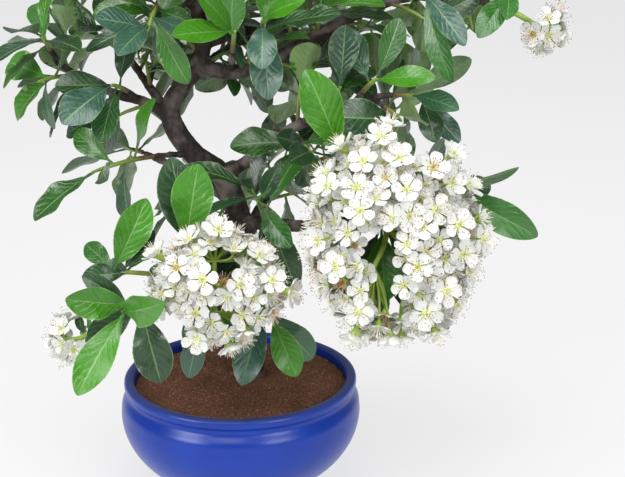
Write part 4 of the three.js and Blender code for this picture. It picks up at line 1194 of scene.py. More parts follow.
@dataclass(frozen=True)
class FirethornLeaf(Finish):
    """A firethorn's leathery leaf: a waxy upper side that shines, and a paler matt underside."""

    name: str = "firethorn leaf"
    roughness: float = 0.3
    ior: float = 1.45
    young: str = "#3a8002"
    old: str = "#0a280d"
    # Painted sheen: the grey-green of sky that a waxy leaf reflects, painted into its colour
    grey: str = "#355a4c"
    vein: str = "#9cc37c"
    under: str = "#84a264"
    under_old: str = "#4a6849"
    margin: str = "#b9cf8c"
    side_veins: float = 9
    vein_slant: float = 2.4
    wander_mm: float = 2.5
    blotch_mm: float = 6
    net_mm: float = 0.8

    def dress(self, node: NodeMaker) -> Settings:
        """Adds the rib, the side veins, the pale margin, the colours of youth and age, and the painted grey
        sheen of reflected sky.
        """
        share = node(SPLIT, {0: node("ShaderNodeUVMap", uv_map="surface")}).outputs
        kind = node(SPLIT, {0: node(READ, attribute_name="look").outputs["Vector"]}).outputs
        below = node(READ, attribute_name="under").outputs["Fac"]
        place = node(PLACE).outputs["Object"]
        wander, blotch, net = (
            node(NOISE, {"Vector": place, "Scale": 1 / (size * MM), "Detail": detail})
            for size, detail in ((self.wander_mm, 1.0), (self.blotch_mm, 3.0), (self.net_mm, 2.0)))
        centred = node(MATH, {0: share["X"], 1: 2.0, 2: -1.0}, **TIMES_PLUS)
        away = node(MATH, {0: centred}, operation="ABSOLUTE")
        rib = node(RANGE, {0: away, 1: 0.015, 2: 0.06, 3: 1.0, 4: 0.0}, interpolation_type="SMOOTHSTEP")
        # The side veins wander, slant to the tip and leave the rib in turn on its two sides.
        run = node(MATH, {0: wander, 1: 0.7}, **TIMES)
        half = node(MATH, {0: centred, 1: 0.0}, operation="GREATER_THAN")
        for along, factor in ((share["Y"], self.side_veins), (half, 0.5), (away, -self.vein_slant)):
            run = node(MATH, {0: along, 1: factor, 2: run}, **TIMES_PLUS)
        beside = node(MATH, {0: run, 1: 0.5}, operation="PINGPONG")
        side_vein = node(RANGE, {0: beside, 1: 0.0, 2: 0.12, 3: 0.3, 4: 0.0}, interpolation_type="SMOOTHSTEP")
        fading = node(RANGE, {0: away, 1: 0.1, 2: 0.95, 3: 1.0, 4: 0.15})
        faded = node(MATH, {0: side_vein, 1: fading}, **TIMES)
        lines = node(MATH, {0: rib, 1: faded}, operation="MAXIMUM")
        veins = node(MATH, {0: lines, 1: 0.42}, **TIMES)
        drift = node(MATH, {0: blotch, 1: 0.5, 2: -0.25}, **TIMES_PLUS)
        youth = node(MATH, {0: kind["X"], 1: drift}, operation="ADD", use_clamp=True)
        rim = node(RANGE, {0: away, 1: 0.95, 2: 1.0, 4: 0.4})
        back = node(MIX, {"Factor": kind["X"], "A": self.under_old, "B": self.under}, **COLOUR)
        back = node(MIX, {"Factor": veins, "A": back, "B": self.vein}, **COLOUR)
        colour = self.old
        # The grey that the second look number mixes in is painted sheen, the reflected sky.
        for level, tint in ((youth, self.young), (kind["Y"], self.grey), (veins, self.vein),
                            (rim, self.margin), (below, back)):
            colour = node(MIX, {"Factor": level, "A": colour, "B": tint}, **COLOUR)
        # Its wax is thinner in patches, which dulls the shine there.
        bloom = node(RANGE, {0: blotch, 1: 0.35, 2: 0.65, 3: self.roughness - 0.08, 4: self.roughness + 0.12})
        rough = node(MATH, {0: below, 1: 0.3, 2: bloom}, **TIMES_PLUS)
        # The blade swells between its veins, rolls a little, and its skin is finely netted.
        relief = node(RANGE, {0: beside, 1: 0.0, 2: 0.35}, interpolation_type="SMOOTHSTEP")
        for level, factor in ((net, 0.7), (wander, 3.0), (rib, -0.8)):
            relief = node(MATH, {0: level, 1: factor, 2: relief}, **TIMES_PLUS)
        return {"Base Color": colour, "Roughness": rough, "Coat Weight": 0.55, "Coat Roughness": 0.24,
                "Normal": node(BUMP, {"Strength": 0.5, "Distance": 0.25 * MM, "Height": relief})}


@dataclass(frozen=True)
class GreenShoot(Finish):
    """This year's shoot: smooth, yellow-green at its tip and flushed with brown towards the wood."""

    name: str = "green firethorn shoot"
    roughness: float = 0.45
    green: str = "#7f9c3c"
    brown: str = "#6b4a34"
    fleck_mm: float = 1.5

    def dress(self, node: NodeMaker) -> Settings:
        """Adds the flush from brown to green along the shoot."""
        share = node(SPLIT, {0: node("ShaderNodeUVMap", uv_map="surface")}).outputs["Y"]
        fleck = node(NOISE, {
            "Vector": node(PLACE).outputs["Object"], "Scale": 1 / (self.fleck_mm * MM), "Detail": 3.0})
        ripe = node(MATH, {0: fleck, 1: 0.5, 2: share}, **TIMES_PLUS)
        flush = node(RANGE, {0: ripe, 1: 0.3, 2: 0.9})
        colour = node(MIX, {"Factor": flush, "A": self.brown, "B": self.green}, **COLOUR)
        return {"Base Color": colour,
                "Normal": node(BUMP, {"Strength": 0.3, "Distance": 0.1 * MM, "Height": fleck})}


@dataclass(frozen=True)
class MottledFinish(Finish):
    """A plain surface that is barely mottled between two colours."""

    light: str = "#ffffff"
    dark: str = "#000000"
    patch_mm: float = 2
    low: float = 0.0
    high: float = 1.0
    specular: float = 0.5
    glow: float = 0.0

    def dress(self, node: NodeMaker) -> Settings:
        """Adds the patches, and the glow if it has one."""
        patch = node(NOISE, {
            "Vector": node(PLACE).outputs["Object"], "Scale": 1 / (self.patch_mm * MM), "Detail": 2.0})
        share = node(RANGE, {0: patch, 1: self.low, 2: self.high})
        colour = node(MIX, {"Factor": share, "A": self.dark, "B": self.light}, **COLOUR)
        return {"Base Color": colour, "Specular IOR Level": self.specular, "Emission Color": "#ffffff",
                "Emission Strength": self.glow}


@dataclass(frozen=True)
class PetalTissue(Finish):
    """A petal: thin white tissue that light enters, a little green towards its narrow foot."""

    name: str = "white petal"
    roughness: float = 0.6
    ior: float = 1.4
    white: str = "#e4e5e2"
    # Painted shade: the grey of a white petal out of the light
    shade: str = "#cdd0ce"
    foot: str = "#dfe3b8"

    def dress(self, node: NodeMaker) -> Settings:
        """Adds fine streaks, a painted shade that greys each petal by its own amount, and the green foot."""
        surface = node("ShaderNodeUVMap", uv_map="surface")
        share = node(SPLIT, {0: surface}).outputs["Y"]
        drawn = node("ShaderNodeMapping", {0: surface, "Scale": (14, 2, 1)})
        streak = node(NOISE, {"Vector": drawn, "Scale": 1.0, "Detail": 2.0})
        petal = node(READ, attribute_name="pick").outputs["Fac"]
        # Painted shade: each petal and its streaks are greyed towards the shade colour by their own amount.
        level = node(MATH, {0: petal, 1: 0.5, 2: streak}, **TIMES_PLUS)
        painted_shade_share = node(RANGE, {0: level, 1: 0.5, 2: 1.1, 4: 0.8})
        foot = node(RANGE, {0: share, 1: 0.04, 2: 0.3, 3: 0.8, 4: 0.0})
        colour = self.white
        for factor, tint in ((painted_shade_share, self.shade), (foot, self.foot)):
            colour = node(MIX, {"Factor": factor, "A": colour, "B": tint}, **COLOUR)
        return {"Base Color": colour, "Specular IOR Level": 0.25,
                "Normal": node(BUMP, {"Strength": 0.25, "Distance": 0.1 * MM, "Height": streak})}


@dataclass(frozen=True)
class StamenFinish(Finish):
    """Threads, pollen sacs or the heart of a flower: two colours, between which each one lies."""

    name: str = "stamen thread"
    roughness: float = 0.6
    fresh: str = "#f4f1e2"
    aged: str = "#d3a678"
    old_from: float = 0.75

    def dress(self, node: NodeMaker) -> Settings:
        """Adds the colour of the flower's age, with a little drift from one to the next."""
        age, pick = (node(READ, attribute_name=name).outputs["Fac"] for name in ("age", "pick"))
        drift = node(MATH, {0: pick, 1: 0.5, 2: age}, **TIMES_PLUS)
        ripe = node(RANGE, {0: drift, 1: self.old_from, 2: self.old_from + 0.6})
        return {"Base Color": node(MIX, {"Factor": ripe, "A": self.fresh, "B": self.aged}, **COLOUR)}


class Finishes:
    """Every material of the bonsai, made once."""

    def __init__(self) -> None:
        """Makes the materials."""
        self.glaze = CobaltGlaze().material()
        self.soil = PottingSoil().material()
        self.bark = FirethornBark().material()
        self.leaf = FirethornLeaf().material()
        self.shoot = GreenShoot().material()
        # Stalks and cups are smooth and yellow-green, a little mottled.
        self.stalk = MottledFinish("flower stalk", light="#b6c962", dark="#7fa133").material()
        self.petal = PetalTissue().material()
        self.thread = StamenFinish().material()
        self.pollen = StamenFinish("pollen sac", fresh="#a8825a", aged="#452c22", old_from=0.15).material()
        self.heart = StamenFinish("flower heart", fresh="#ced68a", aged="#a8742c", old_from=0.8).material()
        # The mesh's strands are dark grey, with patches of soil dust.
        self.screen = MottledFinish("polypropylene mesh", light="#4e4b44", dark="#343836", patch_mm=4,
                                    low=0.45, high=0.7).material()


# The object's pieces


@dataclass
class Dresser:
    """Keeps what every sub-assembly needs, and puts each finished piece on the body in the place of its
    nodes.
    """

    finishes: Finishes
    growths: Growths

    def declare(self, piece: Piece, slot: Slot, *nodes: str) -> None:
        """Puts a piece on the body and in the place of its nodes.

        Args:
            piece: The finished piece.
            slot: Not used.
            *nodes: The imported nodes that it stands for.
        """
        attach(piece, BODY)
        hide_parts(*nodes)
        piece.data.calc_loop_triangles()
        LOG.info("%s: %d triangles for %s", piece.name, len(piece.data.loop_triangles), ", ".join(nodes))


@dataclass
class Pot(Dresser):
    """The round glazed pot with its drain holes."""

    sides: int = 144
    lip_steps: int = 12
    belly_steps: int = 20
    crease: float = 35

    @staticmethod
    def curve(steps: int, *bends: Pair) -> list[Pair]:
        """Returns a smooth stretch of the profile through (radius, height) pairs."""
        return [(q[0], q[2]) for q in centripetal([vec((r, 0, z)) for r, z in bends], steps)]

    def outer_profile(self) -> list[Pair]:
        """Returns the outside from the middle of the foot to the inner edge of the lip."""
        p = POT
        lift = (p.belly_height - p.foot_height) / sqrt(1 - (p.foot_radius / p.belly_radius) ** 2)
        heights = np.linspace(p.foot_height, p.belly_height, self.belly_steps)
        belly = [(p.belly_radius * sqrt(1 - ((p.belly_height - z) / lift) ** 2), z) for z in heights]
        neck = self.curve(24, (p.belly_radius, p.belly_height),
                          (p.belly_radius - 0.5, mix(p.belly_height, p.neck_height, 0.55)),
                          (p.neck_radius, p.neck_height), (p.neck_radius + 0.15, p.neck_height + 1.2),
                          (p.rim_radius, p.height - 2.6))[1:]
        middle = (p.rim_radius + p.mouth_radius) / 2
        half = (p.rim_radius - p.mouth_radius) / 2
        lip = []
        for i in range(self.lip_steps + 1):
            angle = pi * i / self.lip_steps
            lip.append((middle + half * cos(angle), p.height - 1.6 + 1.6 * sin(angle) ** 0.8))
        foot = [(0, 0), (p.foot_radius - 0.8, 0), (p.foot_radius - 0.25, 0.2), (p.foot_radius, 0.8),
                (p.foot_radius, p.foot_height - 0.4)]
        return [*foot, *belly, *neck, *lip]

    @staticmethod
    def inner_profile() -> list[Pair]:
        """Returns the inside from the neck down to the middle of the floor."""
        p = POT
        lift = p.belly_height - p.floor
        reach = p.belly_radius - p.wall
        return [*Pot.curve(20, (p.mouth_radius, p.neck_height), (reach * 0.99, p.belly_height),
                           (reach * 0.9, p.belly_height - lift * 0.5),
                           (reach * 0.72, p.belly_height - lift * 0.8), (reach * 0.52, p.floor)),
                (0, p.floor)]

    def build(self) -> None:
        """Makes the pot, cuts its drain holes and channels, and glazes it."""
        skin = Skin()
        skin.add(*lathe([*self.outer_profile(), *self.inner_profile()], self.sides))
        pot = skin.make("pot_glazed", [self.finishes.glaze])
        for number in range(POT.drains):
            combine(pot, self.drain(number), "DIFFERENCE")
        self.declare(creased(pot, self.crease), Slot.GLAZE, "pot")

    def drain(self, number: int) -> Piece:
        """Returns the cutter of one drain hole with its channel.

        Args:
            number: The hole's number, from 0.

        Returns:
            The cutter, as an object that the cut removes.
        """
        angle = POT.drain_angle(number)
        way = vec((cos(angle), sin(angle), 0))
        hole, channel = Skin(), Skin()
        middle = way * POT.drain_ring
        depth = UP * (2 * POT.floor)
        add_tube(hole, Line([middle - depth, middle + depth], [POT.drain_radius] * 2), 40)
        add_tube(channel, Line([middle, way * (POT.foot_radius * 1.5)], [POT.channel_depth] * 2), 24)
        cutter = hole.make("drain_cutter")
        combine(cutter, channel.make("channel_cutter"), "UNION")
        return cutter


@dataclass
class DrainageScreen(Dresser):
    """The woven disc on the pot's floor, which keeps the soil off the drain holes."""

    radius: float = 17.5
    pitch: float = 1.6
    strand: float = 0.25
    rim: float = 0.3
    rise: float = 0.1
    level: float = 0.4

    def build(self) -> None:
        """Weaves the strands both ways and binds the rim."""
        height = POT.floor + POT.gap + self.level
        lines = []
        reach = int(self.radius / self.pitch)
        for number in range(-reach, reach + 1):
            offset = number * self.pitch
            half = sqrt(max(0.0, self.radius**2 - offset**2)) - self.strand
            if half < self.pitch:
                continue
            side = self.rise if number % 2 else -self.rise
            along = np.linspace(-half, half, max(4, int(2 * half / self.pitch) * 2) + 1)
            rise = side * np.cos(pi * along / self.pitch)
            across = np.full(len(along), offset)
            for x, y, z in ((across, along, height - rise), (along, across, height + rise)):
                lines.append(Line(list(np.stack((x, y, z), 1)), [self.strand] * len(along)))
        turns = np.linspace(0, TURN, 73)
        edge = self.radius - self.rim
        ring = np.stack((edge * np.cos(turns), edge * np.sin(turns), np.full(len(turns), height)), 1)
        lines.append(Line(list(ring), [self.rim] * len(ring)))
        piece = rods_piece("drainage_screen_woven", lines, 6, self.growths, self.finishes.screen)
        self.declare(piece, Slot.SCREEN, "drainage_screen")


@dataclass
class Soil(Dresser):
    """The fine brown soil that fills the pot to just under its lip."""

    sides: int = 120
    rings: int = 34
    density_per_mm2: float = 1.0
    smallest: float = 0.28
    largest: float = 1.0
    seed: int = 11

    def height(self, x: float, y: float) -> float:
        """Returns the height of the soil's top, uneven and a little lower towards the wall."""
        edge = POT.mouth_radius - POT.gap
        share = hypot(x, y) / edge
        lump = POT.soil_lump * sin(0.9 * x + 1) * cos(0.7 * y)
        fine = 0.35 * noise.noise(Vector((x, y, 0)) * 0.55) + 0.2 * noise.noise(Vector((x, y, 5)) * 1.4)
        return POT.soil_top - POT.soil_edge_drop * share * share + 0.6 * lump + fine * (1 - share**6)

    def build(self, trunk: Line, shape: Swell) -> None:
        """Fills the pot, leaves a plain hole for the trunk's foot and strews crumbs on top.

        Args:
            trunk: The trunk's line.
            shape: How the trunk's section swells near the soil.
        """
        edge = POT.mouth_radius - POT.gap
        lower = POT.floor + 3 * POT.gap + 0.8
        wall = [(r - POT.gap, max(z, lower)) for r, z in Pot.inner_profile()][:-1]
        bottom = [(0, lower), (wall[-1][0], lower)]
        top = [(edge * (1 - i / self.rings), POT.soil_top) for i in range(self.rings)]
        points, faces = lathe([*bottom, *reversed(wall[:-1]), *top, (0, POT.soil_top)], self.sides)
        for point in points:
            if point[2] == POT.soil_top:
                point[2] = self.height(point[0], point[1])
        skin, foot = Skin(), Skin()
        skin.add(points, faces)
        soil = skin.make("soil_bed", [self.finishes.soil])
        reach = next(i for i, p in enumerate(trunk.points) if p[2] > POT.height) + 2
        hole = Line(trunk.points[:reach], [r + POT.gap / 2 for r in trunk.radii[:reach]])
        add_tube(foot, hole, 40, shape=shape)
        combine(soil, foot.make("root_hole"), "DIFFERENCE")
        piece = grow("soil_crumbed", soil, self.growths.crumbs, {
            "Density": self.density_per_mm2 / MM**2,
            "Level": (POT.soil_top - POT.soil_edge_drop - 0.4) * MM,
            "Smallest": self.smallest, "Largest": self.largest, "Seed": self.seed,
            "Material": self.finishes.soil})
        self.declare(piece, Slot.SOIL, "soil")


@dataclass
class Wood(Dresser):
    """The trunk and its limbs, with a short spur under each shoot and each head, and the thorns."""

    trunk_steps: int = 128
    limb_steps: int = 6
    voxel: float = 0.42
    flare_height: float = 18
    flare_spread: float = 0.12
    flare_ribs: int = 5
    flare_rib_depth: float = 0.08
    collar_length: float = 9
    collar_swell: float = 0.35
    thorn_length: float = 8
    thorn_radius: float = 0.6
    thorn_sink: float = 2.5

    def trunk(self, steps: int) -> Line:
        """Returns the trunk's line, cut into this many steps."""
        points = centripetal([vec(p) for p in TRUNK_PATH], steps)
        last = len(TRUNK_RADII) - 1
        radii = [float(np.interp(last * i / steps, range(last + 1), TRUNK_RADII)) for i in range(steps + 1)]
        return Line(points, radii)

    def shape(self, angle: float, centre: Vec) -> float:
        """Swells the trunk's foot into root ribs near the soil, and makes it uneven above."""
        near = max(0.0, 1 - abs(centre[2] - POT.soil_top + 4) / self.flare_height)
        ribs = self.flare_spread + self.flare_rib_depth * cos(self.flare_ribs * angle)
        return 1 + near * near * ribs + 0.05 * sin(3 * angle + centre[2] / 7)

    @staticmethod
    def limb(row: LimbRow) -> Line:
        """Returns a limb's straight stretches."""
        last = len(row.path) - 1
        return Line([vec(p) for p in row.path], [mix(row.root, row.tip, i / last) for i in range(last + 1)])

    def smooth_limb(self, row: LimbRow) -> Line:
        """Returns a limb's line as it grew, in one smooth curve with a swollen collar.

        Args:
            row: The limb.

        Returns:
            Its line.
        """
        count = (len(row.path) - 1) * self.limb_steps
        points = centripetal([vec(p) for p in row.path], count)
        collars = [max(0.0, 1 - length_of(point - points[0]) / self.collar_length) for point in points]
        return Line(points, [mix(row.root, row.tip, i / count) * (1 + self.collar_swell * collar * collar)
                             for i, collar in enumerate(collars)])

    def thorn(self, at: Point, towards: Point) -> Line:
        """Returns one thorn's line, from inside the wood to its point."""
        foot = vec(at)
        reach = self.thorn_length + self.thorn_sink
        return Line([foot, foot + unit(vec(towards) - foot) * reach], [0, 0])

    def thorn_rod(self, at: Point, towards: Point) -> Line:
        """Returns one thorn as a fine cone that bends slightly."""
        foot, tip = self.thorn(at, towards).points
        shares = [i / 6 for i in range(7)]
        return Line([foot + (tip - foot) * s - UP * (0.5 * s * (1 - s)) for s in shares],
                    [max(0.06, self.thorn_radius * (1.3 * (1 - s) ** 1.2)) for s in shares])

    def build(self, shoots: Sequence[Shoot]) -> None:
        """Joins trunk, limbs and spurs in one skin with bark, and adds the thorns.

        Args:
            shoots: The lines of all shoots and heads.
        """
        skin = Skin()
        add_tube(skin, self.trunk(self.trunk_steps), 32, shape=self.shape)
        for row in LIMBS:
            add_tube(skin, self.smooth_limb(row), 14)
        for shoot in shoots:
            if shoot.woody > 0:
                add_tube(skin, shoot.line(0, shoot.woody, (1.25, 1.15, 1.05, 0.98, 0.92)), 12)
        wood = skin.make("wood")
        reshape(wood, "REMESH", mode="VOXEL", voxel_size=self.voxel * MM)
        reshape(wood, "SMOOTH", factor=0.5, iterations=3)
        piece = grow("wood_barked", wood, self.growths.bark, {
            "Furrow": 0.9 * MM, "Wart": 0.35 * MM, "Material": self.finishes.bark})
        self.declare(piece, Slot.BARK, "trunk_and_limbs")
        thorns = rods_piece("thorns", [self.thorn_rod(*row) for row in THORNS], 10, self.growths,
                            self.finishes.bark)
        self.declare(thorns, Slot.BARK, "trunk_and_limbs")


@dataclass(frozen=True)
class BladeDetail:
    """How finely a leaf is drawn: its rows, its columns from margin to margin, and its teeth."""

    rows: int
    columns: tuple[float, ...]
    teeth: int = 0


SET_BLADE = BladeDetail(70, (-1, -0.9, -0.66, -0.38, -0.1, 0, 0.1, 0.38, 0.66, 0.9, 1), 24)
RULED_BLADE = BladeDetail(26, (-1, -0.72, -0.36, 0, 0.36, 0.72, 1))
DEEP_BLADE = BladeDetail(14, (-1, -0.5, 0, 0.5, 1))


def add_blade(skin: Skin, leaf: Leaf, detail: BladeDetail, looks: Draws) -> None:
    """Adds one leaf with its thin blade, its rib, its waved margin and its fine teeth.

    Args:
        skin: The skin that gets the leaf.
        leaf: The leaf's place and form.
        detail: How finely it is drawn.
        looks: Draws its twist, its waves and its own shade.
    """
    rows, columns = detail.rows, len(detail.columns) - 1
    step = np.linspace(0, 1, rows + 2)[1:-1]
    t = step - 0.12 * np.sin(TURN * step)
    twist = looks.between(-0.16, 0.16)
    waves = looks.between(1.5, 3)
    wave_depth = looks.between(0.02, 0.08) * leaf.width
    phases = (looks.next() * TURN, looks.next() * TURN)
    reach = leaf.half_width(t)
    rib = leaf.rib(t)
    size = min(1.0, leaf.width / 8)
    stalk = np.maximum(0, 1 - t / 0.16)
    upper, lower, marks = [], [], []
    for value in detail.columns:
        away = abs(value)
        out = value * reach
        if detail.teeth and away == 1:
            saw = np.mod(t * detail.teeth, 1.0)
            out = out * (1 + 0.035 * (saw - 0.5) * np.sin(pi * t))
        phase = phases[0] if value < 0 else phases[1]
        wave = wave_depth * away**2 * np.sin(TURN * waves * t + phase) * np.sin(pi * t)
        fold = (0.75 * away + 0.25 * away * away) * reach * leaf.fold
        turn = twist * (t - 0.3) * value * reach
        bands = FirethornLeaf.side_veins * t - FirethornLeaf.vein_slant * away + (0.5 if value > 0 else 0)
        swell = 0.1 * (0.5 - 0.5 * np.cos(TURN * bands)) * (1 - away**3) * np.sin(pi * t)
        swell = swell * min(1.0, away * 3) if detail.teeth else 0.0
        lift = fold + wave + turn + swell
        centre = rib + leaf.side * out[:, None]
        above = lift + (0.13 + 0.22 * stalk) * (1 - away)
        ridge = (0.34 * np.sqrt(1 - t) + 0.2 * stalk) if away < 0.2 else 0.0
        below = lift - (0.13 * (1 - away) + ridge) * size
        upper.append(centre + leaf.normal * above[:, None])
        lower.append(centre + leaf.normal * below[:, None])
        marks.append(np.stack((np.full(rows, 0.5 + 0.5 * value), t), 1))
    ends = np.array((leaf.base, leaf.tip))
    points, uvs, faces, under = blade_shell(ends, upper, lower, marks)
    skin.add(points, faces, uvs, (*leaf.tone, looks.next()), under)


@dataclass(frozen=True)
class Habit:
    """How a kind of shoot grows.

    It has its woody share, its leaves' size, where they start on it, how wide they open in degrees,
    and the lowest y that they may have.
    """

    woody: float = 0.4
    length: float = 23
    width: float = 9.6
    first_share: float = 0.97
    last_share: float = 0.6
    open_from: float = 38
    open_range: float = 52
    front: float = -80


# Short shoots stay behind the front, and the leaves of a collar open wide; their size is their head's.
SHORT_HABIT = Habit(woody=0, length=21, width=9, front=-22)
COLLAR_HABIT = Habit(woody=0, open_from=76, open_range=16)


@dataclass
class Spray:
    """One leafy shoot, with its own random numbers."""

    row: SprayRow
    seed: int
    habit: Habit = Habit()
    # Where a set leaf looks: to the front and up
    set_face: Point = (0, -0.85, 0.5)

    def __post_init__(self) -> None:
        """Starts the shoot; its leaves are placed later, when all fixed pieces have their room."""
        self.draws, self.looks = Draws(self.seed), Draws(self.seed + LOOKS_SEED)
        self.shoot = Shoot(self.row.start, self.row.end, self.habit.woody)
        self.leaves: list[Leaf] = []
        self.short_shoots: list[ShortShoot] = []

    def detail(self, leaf: Leaf) -> BladeDetail:
        """Returns how finely one of its leaves is drawn."""
        return SET_BLADE if leaf.large else RULED_BLADE

    def stem(self) -> Line:
        """Returns the green stem, narrowed at its tip."""
        return self.shoot.line(self.shoot.green_start, 1, (0.85, 0.83, 0.8, 0.77, 0.74, 0.7, 0.62, 0.4))

    def leaf_base(self, number: int) -> Vec:
        """Returns where a leaf leaves the shoot. The first is nearest to the tip."""
        count = len(self.row.leaves) + self.row.ruled
        habit = self.habit
        return self.shoot.at(mix(habit.first_share, habit.last_share, number / max(1, count - 1)))

    def place(self, grid: ClearanceGrid, number: int, axis: Vec, leaf: Leaf) -> None:
        """Keeps a leaf where some turn about its base gives it clear room, or leaves it out.

        Args:
            grid: The room that is taken.
            number: The leaf's number on its shoot.
            axis: What it turns round.
            leaf: The leaf as it would lie unturned.
        """
        for turn in TURNS:
            tried = replace(leaf, tip=turned_tip(leaf.base, leaf.tip, axis, turn))
            samples = tried.samples()
            away = np.sqrt(((samples - leaf.base) ** 2).sum(1))
            near, far = samples[away < leaf.huddle], samples[away >= leaf.huddle]
            if grid.is_over_pot(samples) and self.takes(grid, number, leaf.large, near, far):
                self.leaves.append(tried)
                return

    def takes(self, grid: ClearanceGrid, number: int, large: bool, near: Vec, far: Vec) -> bool:
        """Takes a leaf's room if it is clear of every other piece, near its base and far from it.

        Args:
            grid: The room that is taken.
            number: The leaf's number on its shoot.
            large: Whether it may cross other leaves of its spray too.
            near: Places on the leaf near its base.
            far: The other places on it.

        Returns:
            Whether the leaf may stay.
        """
        name = self.row.name

        def is_spray(owner: str) -> bool:
            return owner.split("#")[0] == name

        def is_stem(owner: str) -> bool:
            return owner == name

        if not grid.is_clear(near, is_spray) or not grid.is_clear(far, is_spray if large else is_stem):
            return False
        grid.mark(near, name)
        grid.mark(far, f"{name}#{number}")
        return True

    def place_set(self, grid: ClearanceGrid) -> None:
        """Places the set leaves, which look to the front and up, turned about their own length.

        Args:
            grid: The room that is taken.
        """
        for number, row in enumerate(self.row.leaves):
            base = self.leaf_base(number)
            tip = vec((row.x, row.y, row.z))
            along = unit(tip - base)
            face = vec(self.set_face)
            face = turned(face - along * float(face @ along), along, radians(row.turn))
            arch = 0.06 + 0.1 * self.draws.next()
            fold = 0.15 + 0.2 * self.draws.next()
            self.place(grid, number, UP, Leaf(base, tip, row.width, face, arch, fold, True, row.tone.value))

    def place_ruled(self, grid: ClearanceGrid) -> None:
        """Places the other leaves round the shoot by the golden angle, wider open to its foot.

        Args:
            grid: The room that is taken.
        """
        habit = self.habit
        axis = unit(self.shoot.at(1) - self.shoot.at(0.7))
        across = unit(vec((-axis[1], axis[0], 0.01)))
        first = self.draws.next() * TURN
        for i in range(self.row.ruled):
            number = len(self.row.leaves) + i
            base = self.leaf_base(number)
            spread = habit.open_from + habit.open_range * (i / max(1, self.row.ruled - 1))
            opened = radians(spread + 14 * self.draws.next())
            out = turned(across, axis, first + GOLDEN_ANGLE * i)
            reach = axis * cos(opened) + out * sin(opened)
            length = habit.length * (0.75 + 0.4 * self.draws.next())
            width = habit.width * (0.8 + 0.4 * self.draws.next()) * (length / habit.length)
            face = axis + UP * 0.9 - out * 0.2
            arch = 0.04 + 0.12 * self.draws.next()
            fold = 0.12 + 0.25 * self.draws.next()
            leaf = Leaf(base, base + reach * length, width, face, arch, fold, False, self.ruled_tone())
            self.place(grid, number, axis, leaf)

    def ruled_tone(self) -> Pair:
        """Draws the tone of a leaf that the photograph doesn't set."""
        is_young = self.looks.next() < self.row.youth
        # Old leaves draw more painted sheen, a grey that stands for reflected sky.
        youth, painted_sheen = ((0.7, 1.0), (0, 0.25)) if is_young else ((0.05, 0.4), (0, 0.6))
        return self.looks.between(*youth), self.looks.between(*painted_sheen)

    def build(self, dresser: Dresser) -> None:
        """Makes the shoot with its leaves as one piece.
        """
        skin = Skin()
        for grown in [self, *self.short_shoots]:
            for leaf in grown.leaves:
                add_blade(skin, leaf, grown.detail(leaf), grown.looks)
            add_tube(skin, grown.stem(), 8, finish=1)
        piece = skin.make(self.row.name + "_leaves", [dresser.finishes.leaf, dresser.finishes.shoot])
        dresser.declare(piece, Slot.LEAF, self.row.name)


@dataclass(frozen=True)
class Crown:
    """The room that the leaves of short shoots may take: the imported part's box, without open gaps."""

    low: Vec
    high: Vec
    eye: Vec

    def allows(self, samples: Vec, front: float) -> bool:
        """Tests that a leaf stays in the box, behind a plane and out of the gaps seen from the front.

        Args:
            samples: Places all over the leaf.
            front: The lowest y that they may have.

        Returns:
            Whether the leaf may stay.
        """
        is_inside = np.all(samples > self.low) and np.all(samples < self.high)
        if not is_inside or samples[:, 1].min() < front:
            return False
        share = -self.eye[1] / (samples[:, 1] - self.eye[1])
        seen = self.eye + (samples - self.eye) * share[:, None]
        return not any(
            np.any(((seen[:, 0] - x) / half_width) ** 2 + ((seen[:, 2] - z) / half_height) ** 2 < 1)
            for x, z, half_width, half_height in OPEN_GAPS)


@dataclass
class ShortShoot(Spray):
    """A short leafy shoot on older wood or behind a head, which fills the crown's depth."""

    habit: Habit = SHORT_HABIT
    crown: Crown | None = None

    def detail(self, leaf: Leaf) -> BladeDetail:
        """Returns how finely one of its leaves is drawn."""
        return DEEP_BLADE

    def stem(self) -> Line:
        """Returns its thin stem."""
        return self.shoot.line(0, 1, (0.7, 0.65, 0.6, 0.4))

    def takes(self, grid: ClearanceGrid, number: int, large: bool, near: Vec, far: Vec) -> bool:
        """Takes a leaf's room if it stays in the crown and crosses nothing."""
        if not (self.crown.allows(np.concatenate((near, far)), self.habit.front)
                and grid.is_clear(far, lambda owner: False, margin=0)):
            return False
        grid.mark(far, f"{self.row.name}+{number}")
        return True


